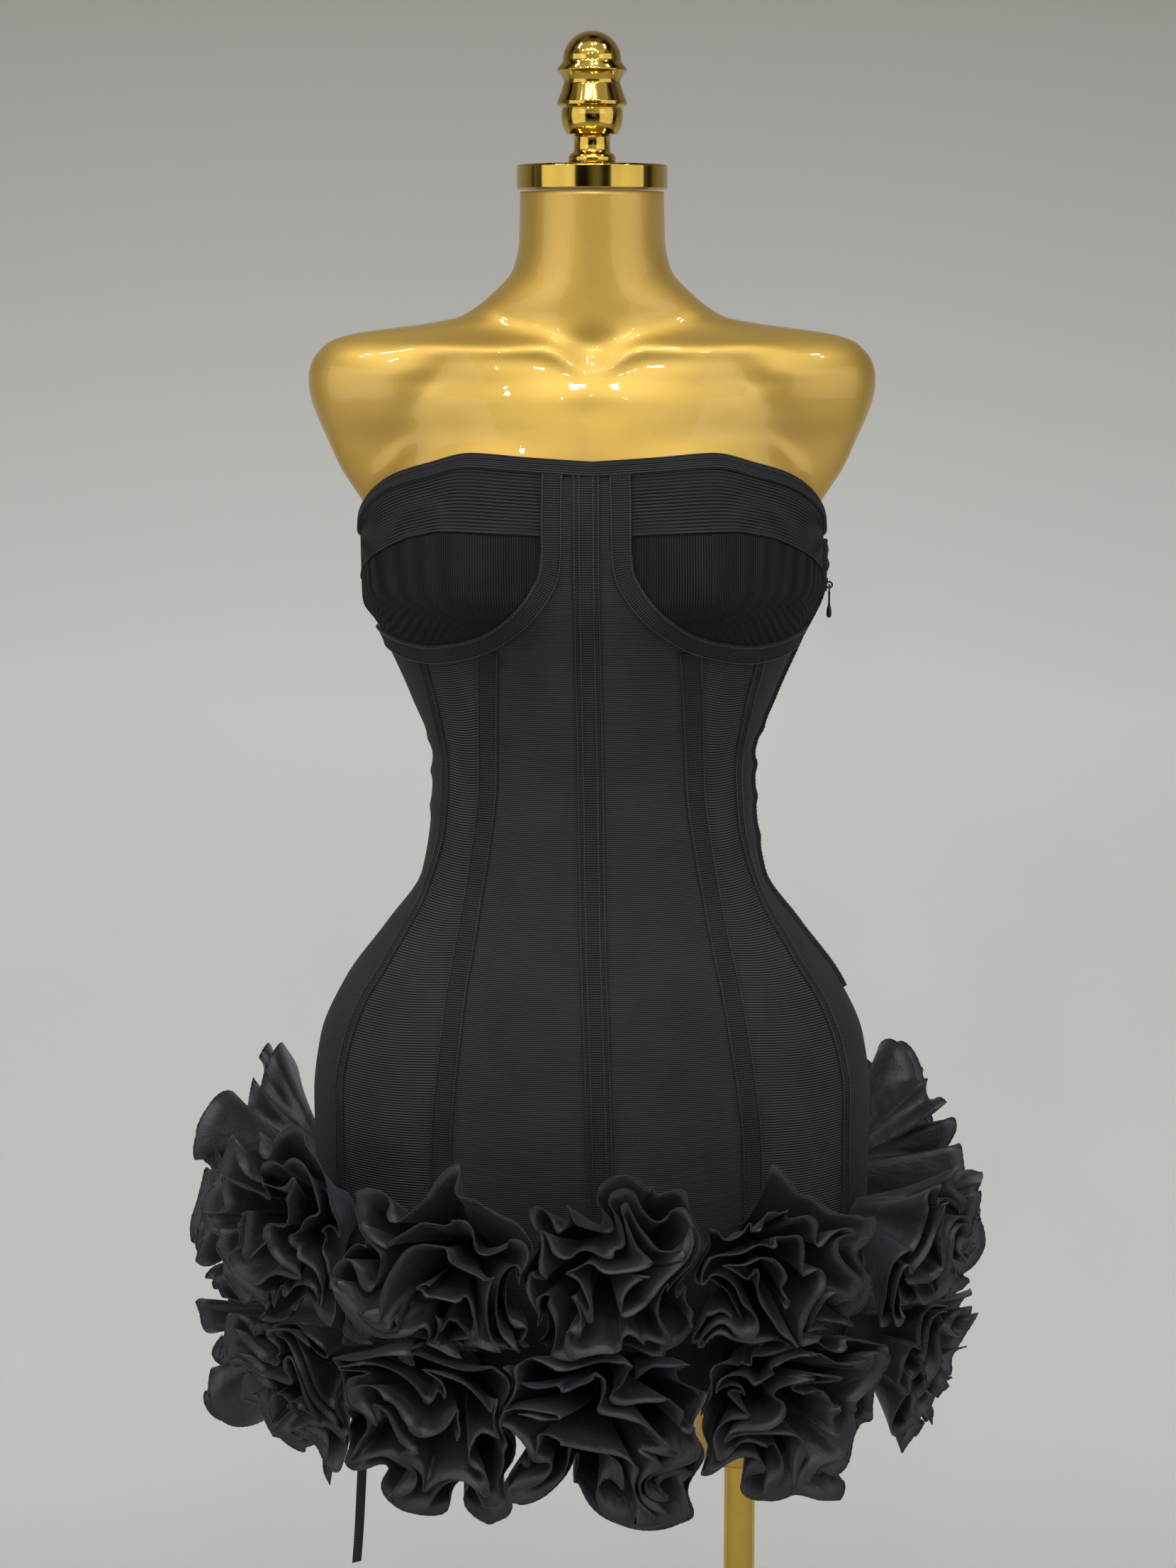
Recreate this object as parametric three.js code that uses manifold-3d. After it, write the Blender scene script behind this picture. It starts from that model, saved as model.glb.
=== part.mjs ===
// Strapless bodycon mini dress with two rows of ruffled rosettes round its hem, worn by a
// limbless display form on a pole stand.
// Millimetres, +Z up. The dress faces -Y, the wearer's left side with the zip is at +X, and the
// origin is on the floor under the middle of the base plate.

import * as THREE from "three";
import Module from "manifold-3d";

const wasm = await Module();
wasm.setup();

// Driving dimensions

const clothWall = 1.6; // knit panels
const seamGap = 0.3; // between pieces that are sewn together
const tapedGap = 1.4; // where a tape covers the seam
const formClearance = 2.4; // between the cloth and the form
const tapeWall = 1.2; // bone channels and cup tapes, laid on the panels
const hemHeight = 612;
const formFoot = 618;
const formTop = 1425;

// The figure under the cloth, level by level: half width, and depth in front of and behind
// the middle. The dress follows it up to the neckline and the form follows it to the neck.
const figure = [
  { z: 600, half: 183, front: 99, back: 117 },
  { z: 660, half: 188, front: 102, back: 122 },
  { z: 740, half: 192, front: 105, back: 129 },
  { z: 809, half: 193, front: 106, back: 132 },
  { z: 850, half: 188, front: 104, back: 131 },
  { z: 890, half: 170.5, front: 99, back: 122 },
  { z: 930, half: 141, front: 90, back: 106 },
  { z: 965, half: 117, front: 82, back: 91 },
  { z: 1010, half: 110, front: 76, back: 81 },
  { z: 1045, half: 108.8, front: 73, back: 77 },
  { z: 1087, half: 123, front: 76, back: 80 },
  { z: 1126, half: 140, front: 80, back: 87 },
  { z: 1165, half: 156, front: 84, back: 93 },
  { z: 1204, half: 156.5, front: 84, back: 95 },
  { z: 1235, half: 152, front: 81, back: 94 },
  { z: 1262, half: 146, front: 76, back: 92 },
  { z: 1285, half: 139, front: 70, back: 88 },
  { z: 1305, half: 128, front: 62, back: 81 },
  { z: 1320, half: 117, front: 57, back: 73 },
  { z: 1331, half: 107, front: 53, back: 64 },
  { z: 1338, half: 97, front: 52, back: 60 },
  { z: 1345, half: 84, front: 51.5, back: 57 },
  { z: 1355, half: 71, front: 51, back: 55 },
  { z: 1373, half: 55, front: 50.5, back: 53 },
  { z: 1392, half: 50.8, front: 50, back: 52 },
  { z: 1425, half: 50, front: 50, back: 51 },
];

// How far the form's shoulder caps stand out past the figure, what they add front and back, and
// how far round the figure they reach, as the cosine of the angle from the centre
const shoulders = [
  { z: 1217, out: 0, deepen: 0, reach: 0.2 },
  { z: 1226, out: 7.5, deepen: 0, reach: 0.2 },
  { z: 1241, out: 20, deepen: 0, reach: 0.28 },
  { z: 1260, out: 33, deepen: 0, reach: 0.42 },
  { z: 1279, out: 46.5, deepen: 4, reach: 0.6 },
  { z: 1298, out: 59.5, deepen: 9, reach: 0.7 },
  { z: 1308, out: 65, deepen: 11, reach: 0.72 },
  { z: 1317, out: 67.5, deepen: 10, reach: 0.72 },
  { z: 1325, out: 66, deepen: 6, reach: 0.7 },
  { z: 1331, out: 56, deepen: 1, reach: 0.66 },
  { z: 1336, out: 24, deepen: 0, reach: 0.6 },
  { z: 1341, out: 0, deepen: 0, reach: 0.6 },
];

// Each moulded cup is a swelling of the front, fuller below than above.
const cup = { x: 76, z: 1163, rise: 29, inward: 46, outward: 58, down: 38, up: 64 };
const cupGap = 0.16; // share of that swelling the form lacks, so the cups stand off it

// Seams of the wearer's left half, as distances from the centre front
const princessSeam = [
  { z: 600, x: 105 },
  { z: 787, x: 104 },
  { z: 882, x: 94 },
  { z: 940, x: 83 },
  { z: 985, x: 75 },
  { z: 1033, x: 69 },
  { z: 1081, x: 68 },
  { z: 1133, x: 66 },
];
const outerSeam = [
  { z: 600, x: 166 },
  { z: 760, x: 172 },
  { z: 820, x: 172 },
  { z: 848, x: 168 },
  { z: 880, x: 157 },
  { z: 914, x: 137 },
  { z: 962, x: 111 },
  { z: 1005, x: 100 },
  { z: 1040, x: 98 },
  { z: 1080, x: 104 },
  { z: 1125, x: 114 },
];

// The seams round the cup and across it, by angle from the centre front in degrees
const cupInner = 8.4;
const underCup = [
  { angle: 8.5, z: 1190 },
  { angle: 9, z: 1179 },
  { angle: 10.3, z: 1170 },
  { angle: 13.7, z: 1157 },
  { angle: 19, z: 1145 },
  { angle: 27.5, z: 1133 },
  { angle: 37.4, z: 1126 },
  { angle: 49.4, z: 1122 },
  { angle: 61.6, z: 1123 },
  { angle: 71.8, z: 1126 },
  { angle: 90, z: 1130 },
];
const cupSeam = [
  { angle: 8.4, z: 1203 },
  { angle: 18.6, z: 1205 },
  { angle: 35, z: 1206 },
  { angle: 49, z: 1201 },
  { angle: 58, z: 1194 },
  { angle: 73, z: 1182 },
  { angle: 90, z: 1167 },
];
const cupStations = [8.5, 9, 10.3, 13.7, 19, 27.5, 34.5, 41.5, 48.5, 55.5, 63, 71, 79, 87.8, 90];

// Top edge of the dress, by angle from the centre front
const neckline = [
  { angle: 0, z: 1250 },
  { angle: 16, z: 1252.5 },
  { angle: 32, z: 1255 },
  { angle: 46, z: 1248 },
  { angle: 59, z: 1240.5 },
  { angle: 70, z: 1231 },
  { angle: 80, z: 1220 },
  { angle: 89, z: 1208 },
  { angle: 110, z: 1200 },
  { angle: 145, z: 1198 },
  { angle: 180, z: 1198 },
];
const binding = { width: 10, wall: 2.8 };

// Levels that the body panels and the tapes on them share, closer together at the waist
const levels = [hemHeight, 690, 765, 815, 852, 884, 912, 938, 962, 988, 1015, 1045, 1072, 1096, 1118];
const backLevels = [1138, 1158, 1177];

const cupTapeLift = 0.5; // clears the raw edges under it
const tapes = { centre: 18, princess: 15, outer: 8, underCup: 14 };

// Rosettes: a gathered strip coiled on its narrow edge, its free edge rippling
const rosette = {
  turns: 2,
  waves: 8,
  pointsPerWave: 4,
  coreRadius: 3.5,
  baseRadius: 17,
  stripWidth: 83,
  outerStripWidth: 79,
  innerLean: 6,
  outerLean: 37,
  leanPower: 0.8,
  ripple: 10.5,
  wall: 1.5,
  bendLength: 25, // the stretch over which a drooping rosette bends
};
const rowGap = { height: 685, fall: 0.32, softness: 13, clearance: 1.25 };

// arc is the distance along the skirt from the centre front towards +X, lift is what keeps the
// foot just clear of the cloth and the tapes there, and droop and spin are in degrees.
const upperRow = [
  { arc: 13, z: 737, lift: 1.9, droop: 2, spin: 200 },
  { arc: 106, z: 732, lift: 1.7, droop: 4, spin: 60 },
  { arc: 205, z: 726, lift: 0.2, droop: 12, spin: 310 },
  { arc: 305, z: 738, lift: -1.1, droop: -6, spin: 120 },
  { arc: 405, z: 733, lift: -0.7, droop: 3, spin: 20 },
  { arc: 505, z: 737, lift: 0.2, droop: 0, spin: 250 },
  { arc: 605, z: 731, lift: -0, droop: 5, spin: 150 },
  { arc: 705, z: 738, lift: 0.2, droop: -5, spin: 330 },
  { arc: 806, z: 739, lift: 1.8, droop: -2, spin: 90 },
  { arc: 905, z: 731, lift: 0.7, droop: 4, spin: 180 },
];
const lowerRow = [
  { arc: 8, z: 633, lift: 2, droop: 30, spin: 30 },
  { arc: 107, z: 634, lift: 2.1, droop: 26, spin: 280 },
  { arc: 203, z: 631, lift: 0.2, droop: 31, spin: 140 },
  { arc: 298, z: 633, lift: -0.3, droop: 28, spin: 220 },
  { arc: 393, z: 631, lift: 0.2, droop: 30, spin: 70 },
  { arc: 489, z: 634, lift: 0.8, droop: 26, spin: 10 },
  { arc: 585, z: 632, lift: 0.6, droop: 30, spin: 300 },
  { arc: 681, z: 633, lift: 0.3, droop: 28, spin: 110 },
  { arc: 778, z: 631, lift: 1.8, droop: 31, spin: 240 },
  { arc: 873, z: 632, lift: 0, droop: 28, spin: 350 },
];

// Zip in the wearer's left side seam
const zip = { top: 1193.5, width: 7, lift: 0.8, sliderDrop: -0.6 };
const slider = { z: 1163, width: 5, height: 9, depth: 1.8, bridgeInner: 1.4, bridgeOuter: 2.5, bridgeWidth: 1.6 };
const pull = { wall: 1.2, eyeHalf: 2.3, eyeHole: 1.35, eyeLength: 5.2, stemHalf: 0.85, bulbHalf: 1.7, length: 22.5 };
const ribbon = { angle: 58, width: 7.5, wall: 1, length: 130, sway: -7 };

// Stand
const pole = { x: 105, radius: 11, insertion: 44 };
const socket = { radius: 35, foot: 545, rounding: 6 };
const base = { radius: 185, thickness: 9, chamfer: 2.5 };
const neckCap = { radius: 50.2, height: 16.5, chamfer: 1.2 };

// Materials
const knit = new THREE.MeshStandardMaterial({ color: "#1d1d20", roughness: 0.85 });
const tapeKnit = new THREE.MeshStandardMaterial({ color: "#242427", roughness: 0.8 });
const petalCloth = new THREE.MeshStandardMaterial({ color: "#17181b", roughness: 0.7 });
const lacquer = new THREE.MeshStandardMaterial({ color: "#b88a2e", roughness: 0.25, metalness: 0.9 });
const brass = new THREE.MeshStandardMaterial({ color: "#cfae4a", roughness: 0.08, metalness: 1 });
const blackMetal = new THREE.MeshStandardMaterial({ color: "#151515", roughness: 0.35, metalness: 0.8 });

const dress = new THREE.Group();
const add = (name, geometry, material, mirrored = false) => {
  const mesh = new THREE.Mesh(geometry, material);
  mesh.name = name;
  if (mirrored) mesh.scale.x = -1;
  dress.add(mesh);
  return mesh;
};
const addPair = (name, geometry, material) => {
  add(name + "_left", geometry, material);
  add(name + "_right", geometry, material, true);
};

const { sin, cos, abs, sqrt, PI } = Math;
const radians = THREE.MathUtils.degToRad;
const lerp = THREE.MathUtils.lerp;
const clamp = THREE.MathUtils.clamp;
const spaced = (n) => Array.from({ length: n + 1 }, (_, i) => i / n);

// A smooth value from a table that never overshoots its rows.
function read(table, key, column, at) {
  const last = table.length - 1;
  const x = clamp(at, table[0][key], table[last][key]);
  let i = 0;
  while (i < last - 1 && x > table[i + 1][key]) i++;
  const step = (k) => table[k + 1][key] - table[k][key];
  const slope = (k) => (table[k + 1][column] - table[k][column]) / step(k);
  const tangent = (k) => {
    if (k === 0 || k === last) return slope(k === 0 ? 0 : last - 1);
    const [a, b] = [slope(k - 1), slope(k)];
    return a * b <= 0 ? 0 : (2 * a * b) / (a + b);
  };
  const h = step(i);
  const t = (x - table[i][key]) / h;
  return (
    table[i][column] * (2 * t ** 3 - 3 * t ** 2 + 1) +
    table[i + 1][column] * (3 * t ** 2 - 2 * t ** 3) +
    h * tangent(i) * (t ** 3 - 2 * t ** 2 + t) +
    h * tangent(i + 1) * (t ** 3 - t ** 2)
  );
}

// The figure's surface

function cupRise(x, z) {
  const tall = ((z - cup.z) / (z < cup.z ? cup.down : cup.up)) ** 2;
  return [-1, 1].reduce((sum, side) => {
    const across = side * x - cup.x;
    const wide = (across / (across < 0 ? cup.inward : cup.outward)) ** 2;
    return sum + cup.rise * Math.exp(-tall - wide);
  }, 0);
}

function figurePoint(angle, z) {
  const half = read(figure, "z", "half", z);
  const depth = read(figure, "z", cos(angle) > 0 ? "front" : "back", z);
  const x = half * sin(angle);
  const frontShare = THREE.MathUtils.smoothstep(cos(angle), 0, 0.4);
  return new THREE.Vector3(x, -depth * cos(angle) - frontShare * cupRise(x, z), z);
}

// Directions on the figure at a point: along its level, up it per millimetre of height, and out
const nudge = { angle: 0.004, z: 0.5 };
function figureFrame(angle, z) {
  const level = figurePoint(angle + nudge.angle, z).sub(figurePoint(angle - nudge.angle, z));
  const climb = figurePoint(angle, z + nudge.z).sub(figurePoint(angle, z - nudge.z));
  const arcPerRadian = level.length() / (2 * nudge.angle);
  const normal = level.clone().cross(climb).normalize();
  return { across: level.normalize(), climb: climb.divideScalar(2 * nudge.z), normal, arcPerRadian };
}

// A point on the figure, moved out along the surface's normal; 0 is the outside of the cloth.
function skin(angle, z, out) {
  return figurePoint(angle, z).addScaledVector(figureFrame(angle, z).normal, out);
}

const angleAt = (x, z) => Math.asin(clamp(x / read(figure, "z", "half", z), -1, 1));
const byAngle = (table, angle) => read(table, "angle", "z", abs(THREE.MathUtils.radToDeg(angle)));
const shift = (angle, z, distance) => angle + distance / figureFrame(angle, z).arcPerRadian;

// Closed walls from two grids of points, inner and outer, of the same size. A ring joins its
// last column to its first.
function wallBetween(inner, outer, ring = false) {
  const columns = outer.length;
  const rows = outer[0].length;
  const positions = [...outer.flat(), ...inner.flat()].flatMap((p) => p.toArray());
  const out = (i, j) => (i % columns) * rows + j;
  const within = (i, j) => columns * rows + out(i, j);
  const index = [];
  const quad = (a, b, c, d) => index.push(a, b, c, a, c, d);
  const spans = ring ? columns : columns - 1;
  for (let i = 0; i < spans; i++) {
    for (let j = 0; j < rows - 1; j++) {
      quad(out(i, j), out(i + 1, j), out(i + 1, j + 1), out(i, j + 1));
      quad(within(i, j), within(i, j + 1), within(i + 1, j + 1), within(i + 1, j));
    }
    quad(within(i, 0), within(i + 1, 0), out(i + 1, 0), out(i, 0));
    quad(out(i, rows - 1), out(i + 1, rows - 1), within(i + 1, rows - 1), within(i, rows - 1));
  }
  for (let j = 0; j < rows - 1 && !ring; j++) {
    quad(within(0, j), out(0, j), out(0, j + 1), within(0, j + 1));
    quad(out(spans, j), within(spans, j), within(spans, j + 1), out(spans, j + 1));
  }
  const geometry = new THREE.BufferGeometry();
  geometry.setAttribute("position", new THREE.Float32BufferAttribute(positions, 3));
  geometry.setIndex(index);
  geometry.computeVertexNormals();
  return geometry;
}

// A wall on the figure. place(u, v) gives the angle and height of each of its points.
function sheetOnFigure(us, vs, place, from, to, ring = false) {
  const grid = (out) => us.map((u) => vs.map((v) => skin(...place(u, v), out)));
  return wallBetween(grid(from), grid(to), ring);
}
const panel = (us, vs, place) => sheetOnFigure(us, vs, place, -clothWall, 0);
const tapeFrom = seamGap;
const tapeTo = seamGap + tapeWall;

const centreLine = () => 0;
const princess = (z) => angleAt(read(princessSeam, "z", "x", z), z);
const outerLine = (z) => angleAt(read(outerSeam, "z", "x", z), z);
const sideSeam = () => PI / 2;
const centreBack = () => PI;
const panelTop = (angle) => byAngle(neckline, angle) - binding.width - 2 * seamGap;

// The columns of a panel between two seams. It has one under the edge of the tape on each seam.
function columns(seamA, tapeA, seamB, tapeB, between) {
  const count = between + 3;
  const at = (k, z, gapB) => {
    const [a, b] = [seamA(z), seamB(z)];
    const inner = shift(a, z, tapeA / 2);
    const outer = shift(b, z, -tapeB / 2);
    if (k === 0) return shift(a, z, seamGap / 2);
    if (k === count) return shift(b, z, -gapB / 2);
    return lerp(inner, outer, (k - 1) / (between + 1));
  };
  return { stations: [...Array(count + 1).keys()], at };
}

function bodyPanel(strip, extraLevels, topAt) {
  const rows = [...levels, ...extraLevels, 0];
  return panel(strip.stations, rows, (k, level) => {
    const z = level || topAt(strip.at(k, levels[levels.length - 1], seamGap));
    return [strip.at(k, z, seamGap), z];
  });
}

// The centre panel runs up between the cups, so its outer edge is the princess seam below and
// the seam round the cup above.
const cupEdge = underCup.slice(0, 6).reverse();
const cupFoot = cupEdge[0].z;
const centrePanelEdge = (z) => {
  if (z <= cupFoot) return princess(z);
  return radians(z > underCup[0].z ? cupInner : read(cupEdge, "z", "angle", z));
};

const frontCentre = columns(centreLine, tapes.centre, centrePanelEdge, tapes.princess, 1);

function centreFrontPanel() {
  const rows = [...levels, ...cupEdge.map((p) => p.z), 1214, panelTop(0)];
  return panel(frontCentre.stations, rows, (k, z) => [frontCentre.at(k, z, z > cupFoot - 1 ? tapedGap : seamGap), z]);
}

const underPanels = (angle) => byAngle(underCup, angle) - tapedGap / 2;

// The lower cup and the band above it meet at the same stations.
const lowerCup = () =>
  panel(cupStations, spaced(4), (degrees, v) => {
    const angle = radians(Math.min(degrees, 90)) - (degrees === 90 ? 0.002 : 0);
    const foot = byAngle(underCup, angle) + tapedGap / 2;
    return [angle, lerp(foot, byAngle(cupSeam, angle) - seamGap / 2, v)];
  });
const upperCup = () =>
  panel(cupStations, spaced(3), (degrees, v) => {
    const angle = radians(degrees) + (degrees === 90 ? -0.002 : 0);
    return [angle, lerp(byAngle(cupSeam, angle) + seamGap / 2, panelTop(angle), v)];
  });

const frontSide = columns(princess, tapes.princess, outerLine, tapes.outer, 1);
const side = columns(outerLine, tapes.outer, sideSeam, zip.width, 1);
const back = columns(sideSeam, zip.width, centreBack, 24, 4);
addPair("front_centre_panel", centreFrontPanel(), knit);
addPair("front_side_panel", bodyPanel(frontSide, [], underPanels), knit);
addPair("side_panel", bodyPanel(side, [], underPanels), knit);
addPair("back_panel", bodyPanel(back, backLevels, panelTop), knit);
addPair("lower_cup", lowerCup(), knit);
addPair("upper_cup_band", upperCup(), knit);

// Neckline binding, a folded strip that stands a little proud of the panels
function necklineBinding() {
  const front = [4.2, 8.5, 13.7, 19, 27.5, 34.5, 41.5, 48.5, 55.5, 63, 71, 79, 87.8];
  const rear = back.stations.slice(1, -1).map((k) => back.at(k, 1180, 0));
  const half = [...front.map(radians), ...rear];
  const angles = [0, ...half, PI, ...half.map((a) => 2 * PI - a).reverse()];
  const place = (angle, v) => {
    const signed = angle > PI ? angle - 2 * PI : angle;
    return [signed, byAngle(neckline, signed) - binding.width * (1 - v)];
  };
  return sheetOnFigure(angles, [0, 1], place, -clothWall, binding.wall - clothWall, true);
}
add("neckline_binding", necklineBinding(), tapeKnit);

// Bone channels laid over the vertical seams
function channel(seam, width, rows, spans, lift = 0) {
  return sheetOnFigure(
    spaced(spans),
    rows,
    (u, z) => [shift(seam(z), z, width * (u - 0.5)), z],
    tapeFrom + lift,
    tapeTo + lift,
  );
}
const belowCupTape = (angle) => byAngle(underCup, angle) - tapes.underCup / 2 - 1.5;
const neckRows = [...cupEdge.map((p) => p.z), 1214, panelTop(0) - 0.3];
add("centre_channel", channel(centreLine, tapes.centre, [...levels, ...neckRows], 2), tapeKnit);
const outerRows = [...levels.slice(0, -1), belowCupTape(outerLine(1113))];
addPair("princess_channel", channel(princess, tapes.princess, levels, 2), tapeKnit);
addPair("outer_channel", channel(outerLine, tapes.outer, outerRows, 2), tapeKnit);

// The tape round each cup is centred on the cup's seam and square to it.
function cupTape() {
  const end = shift(PI / 2, 1130, -zip.width / 2 - 2.6);
  const run = [
    [cupInner, panelTop(0.1) - 0.3],
    [cupInner, 1222],
    [cupInner, 1205],
    ...underCup.slice(0, -1).map((p) => [p.angle, p.z]),
    [THREE.MathUtils.radToDeg(end), 1129.8],
  ].map(([degrees, z]) => new THREE.Vector2(radians(degrees) * 120, z));
  const route = new THREE.SplineCurve(run);
  const place = (offset, t) => {
    const spot = route.getPoint(t);
    const [angle, z] = [spot.x / 120, spot.y];
    const heading = route.getTangent(t);
    const { across, climb, normal, arcPerRadian } = figureFrame(angle, z);
    const along = across.clone().multiplyScalar((heading.x / 120) * arcPerRadian);
    along.addScaledVector(climb, heading.y);
    const aside = normal.clone().cross(along).normalize().multiplyScalar(offset);
    const turned = aside.clone().addScaledVector(climb, -aside.z).dot(across) / arcPerRadian;
    return [angle + turned, z + aside.z];
  };
  const half = tapes.underCup / 2;
  return sheetOnFigure([half, 0, -half], spaced(25), place, tapeFrom + cupTapeLift, tapeTo + cupTapeLift);
}
addPair("cup_tape", cupTape(), tapeKnit);

// Rosettes

const skirtRing = (z) => {
  const steps = 720;
  const table = [{ arc: 0, angle: 0 }];
  let arc = 0;
  for (let i = 1; i <= steps; i++) {
    const angle = (2 * PI * i) / steps;
    arc += figurePoint(angle, z).distanceTo(figurePoint((2 * PI * (i - 1)) / steps, z));
    table.push({ arc, angle });
  }
  return table;
};

function seat(spot, ring) {
  const angle = read(ring, "arc", "angle", spot.arc);
  const { across, normal } = figureFrame(angle, spot.z);
  const foot = skin(angle, spot.z, spot.lift);
  return { ...spot, foot, across, normal, up: normal.clone().cross(across) };
}

// Softly keeps a signed distance short of a limit, as a neighbour that presses on it does.
function press(distance, limit, softness) {
  if (distance < limit - softness) return distance;
  return limit - softness + softness * Math.tanh((distance - limit + softness) / softness);
}

function outwardOf(point) {
  const half = read(figure, "z", "half", point.z);
  const depth = read(figure, "z", point.y < 0 ? "front" : "back", point.z);
  const share = Math.hypot(point.x / half, point.y / depth);
  return Math.hypot(point.x, point.y) * (1 - 1 / share);
}

function pressed(point, place, neighbours, isUpper) {
  for (const other of neighbours) {
    const away = other.foot.clone().sub(place.foot).setZ(0);
    const middle = place.foot.clone().addScaledVector(away, 0.5);
    away.normalize();
    const distance = point.clone().sub(middle).dot(away);
    const kept = press(distance, -rowGap.clearance, rowGap.softness);
    point.addScaledVector(away, kept - distance);
  }
  const border = rowGap.height - rowGap.fall * outwardOf(point);
  const past = isUpper ? border - point.z : point.z - border;
  const change = press(past, -rowGap.clearance, rowGap.softness) - past;
  point.z += isUpper ? -change : change;
  return point;
}

// A point of the coiled strip: s runs along it from the core, h from its foot to its free edge.
function stripPoint(place, s, h) {
  const phase = 2 * PI * rosette.waves * s;
  const turn = radians(place.spin) + 2 * PI * rosette.turns * s;
  const lean = radians(lerp(rosette.innerLean, rosette.outerLean, s ** rosette.leanPower));
  const width = lerp(rosette.stripWidth, rosette.outerStripWidth, s);
  const ripple = rosette.ripple * lerp(0.55, 1, s) * cos(phase) * h;
  const radius = lerp(rosette.coreRadius, rosette.baseRadius, s) + width * sin(lean) * h ** 1.25 + ripple;
  const rise = width * cos(lean) * h;
  const droop = radians(place.droop || 0.01);
  const bendRadius = rosette.bendLength / droop;
  const bent = droop * Math.min(rise / rosette.bendLength, 1);
  const straight = Math.max(rise - rosette.bendLength, 0);
  const forward = bendRadius * sin(bent) + straight * cos(droop);
  const fall = bendRadius * (1 - cos(bent)) + straight * sin(droop);
  const side = radius * cos(turn);
  const high = radius * sin(turn);
  return place.foot
    .clone()
    .addScaledVector(place.across, side)
    .addScaledVector(place.normal, forward + high * sin(bent))
    .addScaledVector(place.up, high * cos(bent) - fall);
}

function rosetteGeometry(place, neighbours, isUpper) {
  const us = spaced(rosette.waves * rosette.pointsPerWave);
  const vs = [0, 0.5, 1];
  const at = (s, h) => pressed(stripPoint(place, s, h), place, neighbours, isUpper);
  const step = 0.01;
  const grids = [-0.5, 0.5].map((side) =>
    us.map((s) =>
      vs.map((h) => {
        const along = at(Math.min(s + step, 1), h).sub(at(Math.max(s - step, 0), h));
        const rise = at(s, Math.min(h + step, 1)).sub(at(s, Math.max(h - step, 0)));
        const normal = along.cross(rise).normalize();
        return at(s, h).addScaledVector(normal, side * rosette.wall);
      }),
    ),
  );
  return wallBetween(...grids);
}

function addRow(name, spots, isUpper) {
  const ring = skirtRing(spots[0].z);
  const places = spots.map((spot) => seat(spot, ring));
  places.forEach((place, i) => {
    const count = places.length;
    const neighbours = [places[(i + 1) % count], places[(i + count - 1) % count]];
    const number = String(i + 1).padStart(2, "0");
    add(`${name}_${number}`, rosetteGeometry(place, neighbours, isUpper), petalCloth);
  });
}
addRow("rosette_upper", upperRow, true);
addRow("rosette_lower", lowerRow, false);

// Solids that need a join

function solid(geometry) {
  const points = new Map();
  const vertices = [];
  const position = geometry.getAttribute("position");
  const keyOf = (i) => [position.getX(i), position.getY(i), position.getZ(i)].map((v) => v.toFixed(4));
  const merged = Array.from({ length: position.count }, (_, i) => {
    const key = keyOf(i).join();
    if (!points.has(key)) {
      points.set(key, vertices.length / 3);
      vertices.push(...keyOf(i).map(Number));
    }
    return points.get(key);
  });
  const corners = geometry.index ? Array.from(geometry.index.array) : merged.map((_, i) => i);
  const triangles = [];
  for (let i = 0; i < corners.length; i += 3) {
    const [a, b, c] = corners.slice(i, i + 3).map((k) => merged[k]);
    if (a !== b && b !== c && a !== c) triangles.push(a, b, c);
  }
  return new wasm.Manifold(
    new wasm.Mesh({
      numProp: 3,
      vertProperties: new Float32Array(vertices),
      triVerts: new Uint32Array(triangles),
    }),
  );
}

function geometryOf(made) {
  const { vertProperties, triVerts } = made.getMesh();
  const geometry = new THREE.BufferGeometry();
  geometry.setAttribute("position", new THREE.BufferAttribute(vertProperties, 3));
  geometry.setIndex(new THREE.BufferAttribute(triVerts, 1));
  geometry.computeVertexNormals();
  return geometry;
}

// Zip: tape over the seam, slider with its bridge, and the pull that hangs through the bridge

const zipRows = [884, 912, 938, 962, 988, 1015, 1045, 1072, 1096, 1112, 1134, 1156, 1174, zip.top];
add("zip_tape", channel(sideSeam, zip.width, zipRows, 1, zip.lift), tapeKnit);

const sliderFrame = figureFrame(PI / 2, slider.z);
const sliderUp = sliderFrame.normal.clone().cross(sliderFrame.across);
const sliderSeat = tapeTo + zip.lift + zip.sliderDrop;
const bridgeHeight = slider.depth + slider.bridgeInner + 0.1;

// The slider is drawn in its own plane: x out from the cloth, y up along the zip.
function sliderGeometry() {
  const body = new THREE.BoxGeometry(slider.depth, slider.height, slider.width);
  body.translate(slider.depth / 2, 0, 0);
  const arch = new THREE.Shape();
  arch.moveTo(slider.depth - 0.3, -slider.bridgeOuter);
  arch.lineTo(bridgeHeight, -slider.bridgeOuter);
  arch.absarc(bridgeHeight, 0, slider.bridgeOuter, -PI / 2, PI / 2, false);
  arch.lineTo(slider.depth - 0.3, slider.bridgeOuter);
  arch.lineTo(slider.depth - 0.3, slider.bridgeInner);
  arch.lineTo(bridgeHeight, slider.bridgeInner);
  arch.absarc(bridgeHeight, 0, slider.bridgeInner, PI / 2, -PI / 2, true);
  arch.lineTo(slider.depth - 0.3, -slider.bridgeInner);
  const bridge = new THREE.ExtrudeGeometry(arch, {
    depth: slider.bridgeWidth,
    bevelEnabled: false,
    curveSegments: 6,
  });
  bridge.translate(0, 0, -slider.bridgeWidth / 2);
  return geometryOf(solid(body).add(solid(bridge)));
}
const sliderMesh = add("zip_slider", sliderGeometry(), blackMetal);
const sliderTurn = new THREE.Matrix4().makeBasis(
  sliderFrame.normal,
  sliderUp,
  sliderFrame.normal.clone().cross(sliderUp),
);
sliderMesh.quaternion.setFromRotationMatrix(sliderTurn);
sliderMesh.position.copy(skin(PI / 2, slider.z, sliderSeat));

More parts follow.
